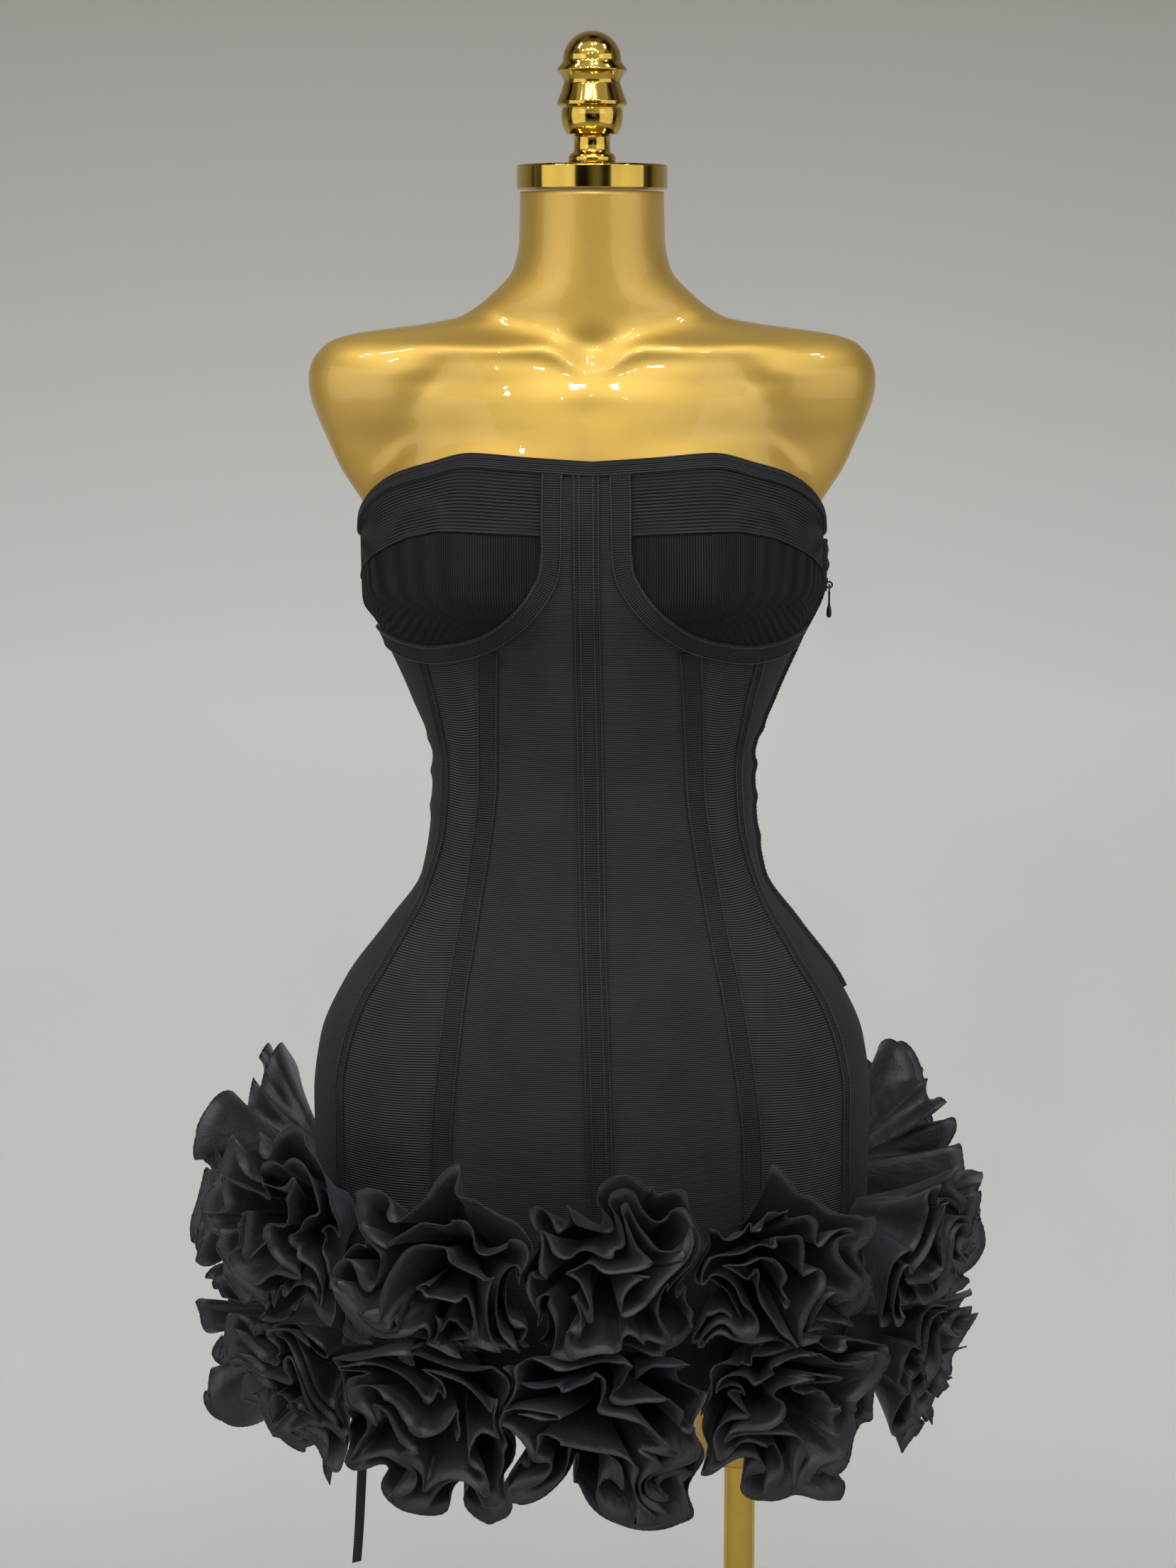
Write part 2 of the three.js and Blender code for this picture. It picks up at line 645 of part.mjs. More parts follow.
// The pull hangs straight down. Its eye's end bar lies inside the bridge, on the hinge axis.
function pullGeometry() {
  const bar = 0.55;
  const outline = new THREE.Shape();
  const { eyeHalf, eyeHole, eyeLength, stemHalf, bulbHalf, length } = pull;
  outline.moveTo(-eyeHalf, bar - 0.2);
  outline.lineTo(-eyeHalf, -eyeLength + 1.6);
  outline.lineTo(-stemHalf, -eyeLength - 0.4);
  outline.lineTo(-stemHalf, -length + 8);
  outline.quadraticCurveTo(-bulbHalf, -length + 6, -bulbHalf, -length + bulbHalf);
  outline.absarc(0, -length + bulbHalf, bulbHalf, PI, 2 * PI, false);
  outline.quadraticCurveTo(bulbHalf, -length + 6, stemHalf, -length + 8);
  outline.lineTo(stemHalf, -eyeLength - 0.4);
  outline.lineTo(eyeHalf, -eyeLength + 1.6);
  outline.lineTo(eyeHalf, bar - 0.2);
  outline.lineTo(eyeHalf - 0.4, bar);
  outline.lineTo(-eyeHalf + 0.4, bar);
  const eye = new THREE.Path();
  eye.moveTo(-eyeHole, -bar);
  eye.lineTo(eyeHole, -bar);
  eye.lineTo(eyeHole, -eyeLength + 1.9);
  eye.lineTo(0.6, -eyeLength + 1.2);
  eye.lineTo(-0.6, -eyeLength + 1.2);
  eye.lineTo(-eyeHole, -eyeLength + 1.9);
  outline.holes.push(eye);
  const made = new THREE.ExtrudeGeometry(outline, { depth: pull.wall, bevelEnabled: false, curveSegments: 5 });
  made.translate(0, 0, -pull.wall / 2);
  made.rotateX(PI / 2);
  made.rotateZ(PI / 2);
  return made;
}
const pullMesh = add("zip_pull", pullGeometry(), blackMetal);
pullMesh.position.copy(skin(PI / 2, slider.z, sliderSeat + bridgeHeight));

// Ribbon tail that hangs free from the hem
function ribbonGeometry() {
  const angle = -radians(ribbon.angle);
  const { across, normal } = figureFrame(angle, hemHeight);
  const top = skin(angle, hemHeight, -clothWall / 2).setZ(hemHeight - seamGap);
  const level = normal.clone().setZ(0).normalize();
  const grid = [-0.5, 0.5].map((side) =>
    [-0.5, 0.5].map((edge) =>
      spaced(8).map((t) =>
        top
          .clone()
          .addScaledVector(across, edge * ribbon.width + ribbon.sway * t ** 2)
          .addScaledVector(level, side * ribbon.wall)
          .add(new THREE.Vector3(0, 0, -ribbon.length * (1 - 0.03 * edge * t) * t)),
      ).reverse(),
    ),
  );
  return wallBetween(...grid);
}
add("hem_ribbon", ribbonGeometry(), tapeKnit);

// Display form: the figure inside the cloth, its shoulder caps and neck, closed at both ends.
// Its columns follow the dress's seams so that it keeps clear of the cloth.
function formPoint(angle, z) {
  const point = skin(angle, z, -clothWall - formClearance);
  point.y += cupGap * cupRise(point.x, z) * THREE.MathUtils.smoothstep(cos(angle), 0, 0.4);
  const above = z > shoulders[0].z;
  const share = Math.exp(-((cos(angle) / read(shoulders, "z", "reach", z)) ** 4));
  const out = above ? read(shoulders, "z", "out", z) * share : 0;
  const deepen = above ? read(shoulders, "z", "deepen", z) * sin(2 * angle) ** 2 : 0;
  point.x += Math.sign(sin(angle)) * out * Math.min(1, abs(sin(angle)) * 1.3);
  point.y -= Math.sign(cos(angle)) * deepen;
  return point.setZ(z);
}

function formAngles(z) {
  const level = Math.min(z, cupFoot);
  const rear = [2, 3, 4, 5].map((k) => back.at(k, level, 0));
  const front = [frontCentre.at(2, level, 0), princess(level), frontSide.at(2, level, 0), outerLine(level)];
  const half = [...front, side.at(2, level, 0), PI / 2, ...rear];
  return [0, ...half, PI, ...half.map((a) => 2 * PI - a).reverse()];
}

function formGeometry() {
  const chest = [1130, 1148, 1166, 1184, 1204, 1224, 1244, 1264, 1284, 1300, 1312, 1321, 1328, 1333, 1338];
  const neck = [1344, 1352, 1364, 1385, formTop];
  const rows = [formFoot, ...levels.slice(1), ...chest, ...neck];
  const rings = rows.map((z) => formAngles(z).map((angle) => formPoint(angle, z)));
  const around = rings[0].length;
  const positions = rings.flat().flatMap((p) => p.toArray());
  const feet = [formFoot, formTop].map((z) => positions.push(0, 0, z) / 3 - 1);
  const index = [];
  const at = (k, i) => k * around + (i % around);
  for (let i = 0; i < around; i++) {
    for (let k = 0; k < rows.length - 1; k++) {
      index.push(at(k, i), at(k, i + 1), at(k + 1, i + 1));
      index.push(at(k, i), at(k + 1, i + 1), at(k + 1, i));
    }
    index.push(feet[0], at(0, i + 1), at(0, i));
    index.push(feet[1], at(rows.length - 1, i), at(rows.length - 1, i + 1));
  }
  const geometry = new THREE.BufferGeometry();
  geometry.setAttribute("position", new THREE.Float32BufferAttribute(positions, 3));
  geometry.setIndex(index);
  geometry.computeVertexNormals();
  return geometry;
}
add("display_form", formGeometry(), lacquer);

// Turned pieces: profiles of radius and height, from the axis back to the axis
function turned(profile, segments) {
  const points = profile.map(([radius, height]) => new THREE.Vector2(radius, height));
  return new THREE.LatheGeometry(points, segments).rotateX(PI / 2);
}

const capFoot = formTop + seamGap;
add(
  "neck_cap",
  turned(
    [
      [0, 0],
      [neckCap.radius - neckCap.chamfer, 0],
      [neckCap.radius, neckCap.chamfer],
      [neckCap.radius, neckCap.height - neckCap.chamfer],
      [neckCap.radius - neckCap.chamfer, neckCap.height],
      [0, neckCap.height],
    ],
    28,
  ),
  brass,
).position.z = capFoot;

// Finial, from its foot on the cap to the top of its dome
const finial = [
  { height: 0, radius: 15.4 },
  { height: 6.5, radius: 15.4 },
  { height: 8.6, radius: 12 },
  { height: 18.8, radius: 12 },
  { height: 21, radius: 16 },
  { height: 29, radius: 20.2 },
  { height: 37.4, radius: 20.2 },
  { height: 39.6, radius: 23.2 },
  { height: 46, radius: 19.6 },
  { height: 53, radius: 18.6 },
  { height: 60.7, radius: 23.2 },
  { height: 65.6, radius: 19.4 },
  { height: 74, radius: 18.4 },
  { height: 80.5, radius: 14.4 },
  { height: 84.6, radius: 8.4 },
];
const finialTop = 86.6;
add(
  "finial",
  turned([[0, 0], ...finial.map((p) => [p.radius, p.height]), [0, finialTop]], 18),
  brass,
).position.z = capFoot + neckCap.height + seamGap;

// Socket under the form, bored for the pole
const boreRadius = pole.radius + seamGap;
add(
  "pole_socket",
  turned(
    [
      [boreRadius, 0],
      [socket.radius - socket.rounding, 0],
      [socket.radius, socket.rounding],
      [socket.radius, formFoot - seamGap - socket.foot],
      [0, formFoot - seamGap - socket.foot],
      [0, pole.insertion + seamGap],
      [boreRadius, pole.insertion + seamGap],
      [boreRadius, 0],
    ],
    24,
  ),
  lacquer,
).position.set(pole.x, 0, socket.foot);

const poleFoot = base.thickness + seamGap;
const poleTop = socket.foot + pole.insertion;
const poleGeometry = new THREE.CylinderGeometry(pole.radius, pole.radius, poleTop - poleFoot, 24);
poleGeometry.rotateX(PI / 2);
add("pole", poleGeometry, brass).position.set(pole.x, 0, (poleTop + poleFoot) / 2);

add(
  "base_plate",
  turned(
    [
      [0, 0],
      [base.radius - base.chamfer, 0],
      [base.radius, base.chamfer],
      [base.radius, base.thickness - base.chamfer],
      [base.radius - base.chamfer, base.thickness],
      [0, base.thickness],
    ],
    40,
  ),
  brass,
);

export default dress;
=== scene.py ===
# Strapless bodycon dress with ruffled rosettes on a gold dress form.
# All sizes below are in millimetres unless a line says otherwise. The dress faces -Y.
import math

import bmesh
import bpy
import numpy as np
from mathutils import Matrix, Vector


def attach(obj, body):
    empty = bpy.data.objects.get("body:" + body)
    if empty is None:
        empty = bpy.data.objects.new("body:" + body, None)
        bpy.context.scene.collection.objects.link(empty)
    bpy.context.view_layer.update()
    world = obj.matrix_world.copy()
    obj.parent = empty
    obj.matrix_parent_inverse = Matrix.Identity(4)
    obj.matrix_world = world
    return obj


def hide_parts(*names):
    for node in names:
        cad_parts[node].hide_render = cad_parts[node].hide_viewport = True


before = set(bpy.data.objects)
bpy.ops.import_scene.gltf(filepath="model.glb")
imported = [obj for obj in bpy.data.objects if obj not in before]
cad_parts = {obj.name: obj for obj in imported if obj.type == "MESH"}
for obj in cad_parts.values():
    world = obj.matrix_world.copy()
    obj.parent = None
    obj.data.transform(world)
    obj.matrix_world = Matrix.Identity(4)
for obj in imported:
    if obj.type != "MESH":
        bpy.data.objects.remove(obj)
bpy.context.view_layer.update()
mm = 0.001
tau = 2 * math.pi
print("model loaded")


def linear(hexColour):
    parts = [int(hexColour[i : i + 2], 16) / 255 for i in (1, 3, 5)]
    return tuple(c / 12.92 if c <= 0.04045 else ((c + 0.055) / 1.055) ** 2.4 for c in parts) + (1,)


# Camera: a phone held a little above the neck and tipped down at the waist
camera = {"distance": 2120, "height": 1369, "x": -2.7, "tip": 9.2, "lens": 72, "sensor": 36}
cameraData = bpy.data.cameras.new("camera")
cameraData.lens = camera["lens"]
cameraData.sensor_width = camera["sensor"]
cameraData.sensor_fit = "AUTO"
cameraObject = bpy.data.objects.new("camera", cameraData)
cameraObject.location = (camera["x"] * mm, -camera["distance"] * mm, camera["height"] * mm)
cameraObject.rotation_euler = (math.radians(90 - camera["tip"]), 0, 0)
bpy.context.scene.collection.objects.link(cameraObject)
bpy.context.scene.camera = cameraObject


# The figure that the dress and the form follow, in rows of height, half width and depths
figureRows = np.array(
    [
        [600, 183, 99, 117], [660, 188, 102, 122], [740, 192, 105, 129], [809, 193, 106, 132],
        [850, 188, 104, 131], [890, 170.5, 99, 122], [930, 141, 90, 106], [965, 117, 82, 91],
        [1010, 110, 76, 81], [1045, 108.8, 73, 77], [1087, 123, 76, 80], [1126, 140, 80, 87],
        [1165, 156, 84, 93], [1204, 156.5, 84, 95], [1235, 152, 81, 94], [1262, 146, 76, 92],
        [1285, 139, 70, 88], [1305, 128, 62, 81], [1320, 117, 57, 73], [1331, 107, 53, 64],
        [1338, 97, 52, 60], [1345, 84, 51.5, 57], [1355, 71, 51, 55], [1373, 55, 50.5, 53],
        [1392, 50.8, 50, 52], [1425, 50, 50, 51],
    ],
    float,
)
# Shoulder caps: height, how far they stand out, what they add front and back, and their reach
shoulderRows = np.array(
    [
        [1217, 0, 0, 0.2], [1226, 7.5, 0, 0.2], [1241, 20, 0, 0.28], [1260, 33, 0, 0.42],
        [1279, 46.5, 4, 0.6], [1298, 59.5, 9, 0.7], [1308, 65, 11, 0.72], [1317, 67.5, 10, 0.72],
        [1325, 66, 6, 0.7], [1331, 56, 1, 0.66], [1336, 24, 0, 0.6], [1341, 0, 0, 0.6],
    ],
    float,
)
cup = {"x": 76, "z": 1163, "rise": 29, "inward": 46, "outward": 58, "down": 38, "up": 64}
# Seams of the wearer's left half: height and distance from the centre front
princessRows = np.array(
    [[600, 105], [787, 104], [882, 94], [940, 83], [985, 75], [1033, 69], [1081, 68], [1133, 66]], float
)
outerRows = np.array(
    [
        [600, 166], [760, 172], [820, 172], [848, 168], [880, 157], [914, 137], [962, 111],
        [1005, 100], [1040, 98], [1080, 104], [1125, 114],
    ],
    float,
)
# Seams round and across the cup, and the top edge: angle from the centre front and height
underCupRows = np.array(
    [
        [8.5, 1190], [9, 1179], [10.3, 1170], [13.7, 1157], [19, 1145], [27.5, 1133],
        [37.4, 1126], [49.4, 1122], [61.6, 1123], [71.8, 1126], [90, 1130],
    ],
    float,
)
cupSeamRows = np.array(
    [[8.4, 1203], [18.6, 1205], [35, 1206], [49, 1201], [58, 1194], [73, 1182], [90, 1167]], float
)
necklineRows = np.array(
    [
        [0, 1250], [16, 1252.5], [32, 1255], [46, 1248], [59, 1240.5], [70, 1231], [80, 1220],
        [89, 1208], [110, 1200], [145, 1198], [180, 1198],
    ],
    float,
)
# lap is how far the cloth runs up behind the neckline binding
dressSizes = {"hem": 612, "cloth": 1.6, "binding": 10, "lap": 2, "cupInner": 8.4, "gap": 0.15}


# A smooth value from rows of a table, without overshoot
def read(rows, column, at):
    x = rows[:, 0]
    y = rows[:, column]
    at = np.clip(np.asarray(at, float), x[0], x[-1])
    i = np.clip(np.searchsorted(x, at, side="right") - 1, 0, len(x) - 2)
    slope = np.diff(y) / np.diff(x)
    a, b = slope[:-1], slope[1:]
    inner = np.where(a * b > 0, 2 * a * b / np.where(np.abs(a + b) < 1e-12, 1, a + b), 0)
    tangent = np.concatenate([[slope[0]], inner, [slope[-1]]])
    h = x[i + 1] - x[i]
    t = (at - x[i]) / h
    return (
        y[i] * (2 * t**3 - 3 * t**2 + 1)
        + y[i + 1] * (3 * t**2 - 2 * t**3)
        + h * tangent[i] * (t**3 - 2 * t**2 + t)
        + h * tangent[i + 1] * (t**3 - t**2)
    )


def smooth(x, low, high):
    t = np.clip((x - low) / (high - low), 0, 1)
    return t * t * (3 - 2 * t)


def cupRise(x, z):
    total = 0
    for side in (-1, 1):
        across = side * x - cup["x"]
        wide = across / np.where(across < 0, cup["inward"], cup["outward"])
        tall = (z - cup["z"]) / np.where(z < cup["z"], cup["down"], cup["up"])
        total = total + cup["rise"] * np.exp(-(wide**2) - tall**2)
    return total


def figurePoint(angle, z):
    angle, z = np.broadcast_arrays(np.asarray(angle, float), np.asarray(z, float))
    cosine = np.cos(angle)
    depth = np.where(cosine > 0, read(figureRows, 2, z), read(figureRows, 3, z))
    x = read(figureRows, 1, z) * np.sin(angle)
    return np.stack([x, -depth * cosine - smooth(cosine, 0, 0.4) * cupRise(x, z), z], -1)


def figureFrame(angle, z):
    level = figurePoint(angle + 0.004, z) - figurePoint(angle - 0.004, z)
    climb = figurePoint(angle, z + 0.5) - figurePoint(angle, z - 0.5)
    arc = np.linalg.norm(level, axis=-1) / 0.008
    normal = np.cross(level, climb)
    normal /= np.linalg.norm(normal, axis=-1, keepdims=True)
    across = level / np.linalg.norm(level, axis=-1, keepdims=True)
    return across, climb, normal, arc


# Small pulls and creases of the worn knit: angle, height, spreads in degrees and mm, depth, slant
creases = [
    [-89, 1150, 6, 8, 2.6, 0],
    [-84, 1058, 16, 4.5, 1.5, 0.12],
    [-86, 1036, 14, 4, 1.7, 0.1],
    [-84, 1012, 18, 5, 1.4, 0.05],
    [84, 1066, 15, 4.5, 1.4, -0.1],
    [86, 1040, 16, 4.5, 1.7, -0.1],
    [83, 1018, 14, 4, 1.5, -0.06],
    [85, 990, 16, 5, 1.2, 0],
    [92, 1176, 3, 4, 2.2, 0],
    [93, 1186, 3, 3.4, 1.6, 0],
    [-48, 1108, 12, 7, 0.7, 0.3],
    [50, 1106, 12, 7, 0.7, -0.3],
    [175, 1050, 30, 7, 1.6, 0],
    [-172, 1028, 34, 7, 1.4, 0.04],
    [168, 1006, 26, 6, 1.2, 0],
]


def creaseRise(angle, z):
    degrees = np.degrees(angle)
    total = 0
    for at, height, wide, tall, depth, slant in creases:
        away = (degrees - at + 180) % 360 - 180
        off = (z - height - slant * away) / tall
        total = total + depth * np.exp(-((away / wide) ** 2) - off**2)
    return total


def skin(angle, z, out):
    angle, z = np.broadcast_arrays(np.asarray(angle, float), np.asarray(z, float))
    frameAt = figureFrame(angle, z)
    lift = out + creaseRise(angle, z)
    return figurePoint(angle, z) + frameAt[2] * np.asarray(lift)[..., None]


# The dress sits a little turned on the form: its front lies towards the wearer's right at the
# chest and towards the left at the hem, in millimetres.
def turned(angle, z):
    aside = -3.8 + 8.6 * smooth(-np.asarray(z, float), -1250, -640)
    return angle + np.maximum(np.cos(angle), 0) ** 1.5 * aside / 140


def angleAt(x, z):
    return np.arcsin(np.clip(x / read(figureRows, 1, z), -1, 1))


def shift(angle, z, distance):
    return angle + distance / figureFrame(angle, z)[3]


def byAngle(rows, angle):
    return read(rows, 1, np.abs(np.degrees(angle)))


# Mesh helpers


def newPiece(name, bm, material, body="dress"):
    mesh = bpy.data.meshes.new(name)
    bm.to_mesh(mesh)
    bm.free()
    mesh.materials.append(material)
    mesh.polygons.foreach_set("use_smooth", [True] * len(mesh.polygons))
    piece = bpy.data.objects.new(name, mesh)
    bpy.context.scene.collection.objects.link(piece)
    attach(piece, body)
    return piece


# Hides the model's node that a piece stands for
def standFor(piece, node):
    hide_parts(node)
    return piece


# Lays a flat grid of cells over a surface. place takes u and v from 0 to 1 and gives points.
def drape(bm, columns, rows, place, slot=0, closed=False, flip=False, strip=None):
    made = bmesh.ops.create_grid(bm, x_segments=columns, y_segments=rows, size=1)["verts"]
    flat = np.array([v.co[:2] for v in made]) * 0.5 + 0.5
    points = place(flat[:, 0], flat[:, 1]) * mm
    uvLayer = bm.loops.layers.uv.verify()
    faces = {f for v in made for f in v.link_faces}
    us = np.linspace(0, 1, columns + 1)
    vs = np.linspace(0, 1, rows + 1)
    lengths = np.linalg.norm(np.diff(place(us, np.full_like(us, 1 if strip else 0.5)), axis=0), axis=1)
    heights = np.linalg.norm(np.diff(place(np.full_like(vs, 0.5), vs), axis=0), axis=1)
    along = np.concatenate([[0], np.cumsum(lengths)]) * mm
    up = vs * strip * mm if strip else np.concatenate([[0], np.cumsum(heights)]) * mm
    spot = {v: (np.interp(a, us, along), np.interp(b, vs, up)) for v, (a, b) in zip(made, flat)}
    for face in faces:
        face.material_index = slot
        for loop in face.loops:
            loop[uvLayer].uv = spot[loop.vert]
    for v, p in zip(made, points):
        v.co = p
    if flip:
        bmesh.ops.reverse_faces(bm, faces=list(faces))
    if closed:
        bmesh.ops.remove_doubles(bm, verts=made, dist=1e-6)


def thicken(piece, wall, offset=-1):
    solid = piece.modifiers.new("cloth", "SOLIDIFY")
    solid.thickness = wall * mm
    solid.offset = offset
    solid.use_even_offset = False
    solid.use_rim = True
    return piece


# A stitched thread or rolled edge along a line of points, swelling once in each stitch
def beadLine(bm, points, radius, pitch=0, swell=0.3, sides=5, slot=0):
    points = np.asarray(points, float)
    steps = np.linalg.norm(np.diff(points, axis=0), axis=1)
    length = np.concatenate([[0], np.cumsum(steps)])
    count = max(8, int(length[-1] / (pitch / 3 if pitch else 2.2)))
    at = np.linspace(0, length[-1], count + 1)
    line = np.stack([np.interp(at, length, points[:, k]) for k in range(3)], -1)
    along = np.gradient(line, axis=0)
    along /= np.linalg.norm(along, axis=1, keepdims=True)
    reference = np.array([0.31, 0.17, 0.93])
    side = np.cross(along, reference)
    side /= np.maximum(np.linalg.norm(side, axis=1, keepdims=True), 1e-6)
    other = np.cross(along, side)
    size = np.full(count + 1, radius, float)
    if pitch:
        size *= 1 + swell * np.cos(tau * np.arange(count + 1) / 3)

    def place(u, v):
        i = np.clip(np.rint(u * count).astype(int), 0, count)
        turn = tau * v
        ring = side[i] * np.cos(turn)[:, None] + other[i] * np.sin(turn)[:, None]
        return line[i] + ring * size[i][:, None]

    drape(bm, count, sides, place, slot, closed=True)


print("surface ready")

# Materials


def plug(node, inputs):
    for key, value in inputs.items():
        if isinstance(value, bpy.types.NodeSocket):
            node.id_data.links.new(value, node.inputs[key])
        else:
            node.inputs[key].default_value = value


# Adds a node with its settings and inputs. stops are the places and colours of a colour ramp.
def addNode(tree, kind, inputs=None, stops=(), **settings):
    node = tree.nodes.new("ShaderNode" + kind)
    for key, value in settings.items():
        setattr(node, key, value)
    for _ in stops[2:]:
        node.color_ramp.elements.new(0.5)
    for stop, (position, tone) in zip(node.color_ramp.elements if stops else (), stops):
        stop.position = position
        stop.color = linear(tone)
    plug(node, inputs or {})
    return node


def startMaterial(name, values):
    material = bpy.data.materials.new(name)
    material.use_nodes = True
    shader = material.node_tree.nodes["Principled BSDF"]
    plug(shader, values)
    return material, material.node_tree, shader


# Viscose and elastane bandage knit, yarn-dyed black: matt, with ribs in relief. The colour also takes
# the ribs' wave, so each rib crest is a painted highlight over the yarn's own uneven tone.
# The ribs run across the cloth (along U) or up it (along V), at rib mm, on the cloth's own UV.
def knitCloth(name, colour, light, rib, along, ribDepth, rough=0.82, sheen=0.12):
    surface = {"Roughness": rough, "Specular IOR Level": 0.2, "IOR": 1.45}
    fuzz = {"Sheen Weight": sheen, "Sheen Roughness": 0.4, "Sheen Tint": linear("#6f7480")}
    material, tree, shader = startMaterial(name, surface | fuzz)
    uv = addNode(tree, "TexCoord").outputs["UV"]
    wave = {"Scale": tau / (20 * rib * mm), "Distortion": 0.35, "Detail": 1.0, "Detail Scale": 2.0}
    ribs = addNode(tree, "TexWave", {"Vector": uv} | wave, bands_direction=along)
    yarnWidth = 1.0
    yarn = addNode(tree, "TexNoise", {"Vector": uv, "Scale": 1 / (yarnWidth * mm), "Detail": 3.0})
    tone = addNode(tree, "TexNoise", {"Vector": uv, "Scale": 28.0, "Detail": 4.0})
    height = {0: yarn.outputs["Fac"], 1: 0.5, 2: ribs.outputs["Fac"]}
    mix = addNode(tree, "Math", height, operation="MULTIPLY_ADD")
    patchy = {0: tone.outputs["Fac"], 1: 0.45, 2: mix.outputs[0]}
    # Painted highlight: the ribs' wave is added into the colour, lightening each rib crest
    ribHighlightAndTone = addNode(tree, "Math", patchy, operation="MULTIPLY_ADD")
    spread = addNode(tree, "Math", {0: ribHighlightAndTone.outputs[0], 1: 0.6}, operation="MULTIPLY")
    ramp = addNode(tree, "ValToRGB", {"Fac": spread.outputs[0]}, [(0.3, colour), (0.85, light)])
    relief = {"Height": mix.outputs[0], "Distance": ribDepth * mm, "Strength": 0.8}
    bump = addNode(tree, "Bump", relief)
    plug(shader, {"Base Color": ramp.outputs["Color"], "Normal": bump.outputs["Normal"]})
    return material


bodyKnit = knitCloth("bandage knit, fine rib", "#121212", "#3a393a", 1.3, "Y", 0.3)
sideKnit = knitCloth("bandage knit, coarse rib", "#0d0d0e", "#403f41", 1.8, "Y", 0.45)
# Painted shade: the cup band is given darker colours than the body's knit, taking back the light from
# above that falls on the chest
shadedBandKnit = knitCloth("bandage knit, cup band", "#0b0b0b", "#302f2f", 2.4, "Y", 0.3)
# Painted shade: the lower cups face down and take less light, so this copy of the knit is given darker
# colours than the body's
shadedCupKnit = knitCloth("bandage knit, lower cup", "#070606", "#221f20", 2.1, "X", 0.35)
tapeKnit = knitCloth("bandage tape", "#0e0e0e", "#343335", 1.6, "Y", 0.25, 0.85, 0.08)


# A material whose colour wanders between two tones, by a noise through the piece
def mottled(name, values, scale, detail, tones):
    material, tree, shader = startMaterial(name, values)
    at = addNode(tree, "TexCoord").outputs["Object"]
    noise = addNode(tree, "TexNoise", {"Vector": at, "Scale": scale, "Detail": detail})
    ramp = addNode(tree, "ValToRGB", {"Fac": noise.outputs["Fac"]}, tones)
    plug(shader, {"Base Color": ramp.outputs["Color"]})
    return material, tree, shader, at, noise.outputs["Fac"]


# Polyester sewing thread: a touch glossier than the knit
# The thread is blacker than the knit, so the stitch rows also draw the dark groove beside each tape:
# partly the thread's own black, partly painted shade
thread = mottled(
    "polyester thread",
    {"Roughness": 0.5, "Sheen Weight": 0.1, "Base Color": linear("#0d0d0e")},
    700.0,
    2.0,
    [(0, "#050505"), (1, "#111112")],
)[0]


# Satin-backed crepe of the rosettes, piece-dyed black: soft highlights along the folds, a fine
# crosswise weave, and a row of edge stitching 3 mm in from the free edge (V runs up the strip).
def petalCloth(name, stripWidth):
    surface = {"Roughness": 0.46, "Sheen Weight": 0.3, "Sheen Roughness": 0.5, "IOR": 1.5}
    material, tree, shader = startMaterial(name, surface | {"Sheen Tint": linear("#7c8490")})
    uv = addNode(tree, "TexCoord").outputs["UV"]
    parts = addNode(tree, "SeparateXYZ", {"Vector": uv})
    weave = addNode(tree, "TexNoise", {"Vector": uv, "Scale": 1400.0, "Detail": 2.0})
    crumple = addNode(tree, "TexNoise", {"Vector": uv, "Scale": 85.0, "Detail": 6.0})
    seam = {0: parts.outputs["Y"], 1: (stripWidth - 3.4) * mm, 2: 0.7 * mm}
    row = addNode(tree, "Math", seam, operation="COMPARE")
    pitch = {"Scale": tau / (20 * 3 * mm), "Distortion": 0.0}
    dash = addNode(tree, "TexWave", {"Vector": uv} | pitch, bands_direction="X")
    dashed = {0: row.outputs[0], 1: dash.outputs["Fac"]}
    stitch = addNode(tree, "Math", dashed, operation="MULTIPLY")
    tones = [(0, "#15161a"), (1, "#292b30")]
    ramp = addNode(tree, "ValToRGB", {"Fac": crumple.outputs["Fac"]}, tones)
    # Painted highlight: the dashed stitch row is painted a lighter grey than the cloth, for the thread
    # catching the light
    stitchHighlightMix = {"Factor": stitch.outputs[0], "A": ramp.outputs["Color"], "B": linear("#2b2c30")}
    shade = addNode(tree, "Mix", stitchHighlightMix, data_type="RGBA")
    height = {0: weave.outputs["Fac"], 1: 0.12, 2: crumple.outputs["Fac"]}
    heights = addNode(tree, "Math", height, operation="MULTIPLY_ADD")
    sewn = {0: row.outputs[0], 1: -0.35, 2: heights.outputs[0]}
    pinched = addNode(tree, "Math", sewn, operation="MULTIPLY_ADD")
    relief = {"Height": pinched.outputs[0], "Distance": 2.0 * mm, "Strength": 0.6}
    bump = addNode(tree, "Bump", relief)
    plug(shader, {"Base Color": shade.outputs["Result"], "Normal": bump.outputs["Normal"]})
    return material


# Two-coat gold lacquer over glass fibre: metal flake under a clear gloss coat, with slight
# orange peel from the spray gun and a few dull patches from handling
goldPaint, paintTree, paintShader, paintAt, _ = mottled(
    "gold lacquer on glass fibre",
    {"Metallic": 0.9, "Roughness": 0.4, "Coat Weight": 0.5, "Coat Roughness": 0.03},
    7.0,
    3.0,
    [(0.3, "#bb9842"), (0.7, "#d3b05b")],
)
flake = addNode(paintTree, "TexNoise", {"Vector": paintAt, "Scale": 900.0, "Detail": 1.0})
flakeRange = {"Value": flake.outputs["Fac"], "To Min": 0.44, "To Max": 0.6}
flakeRough = addNode(paintTree, "MapRange", flakeRange)
peel = addNode(paintTree, "TexNoise", {"Vector": paintAt, "Scale": 90.0, "Detail": 2.0})
peelHeight = {"Height": peel.outputs["Fac"], "Distance": 0.25 * mm, "Strength": 0.6}
peelNormal = addNode(paintTree, "Bump", peelHeight).outputs["Normal"]
plug(paintShader, {"Roughness": flakeRough.outputs["Result"]})
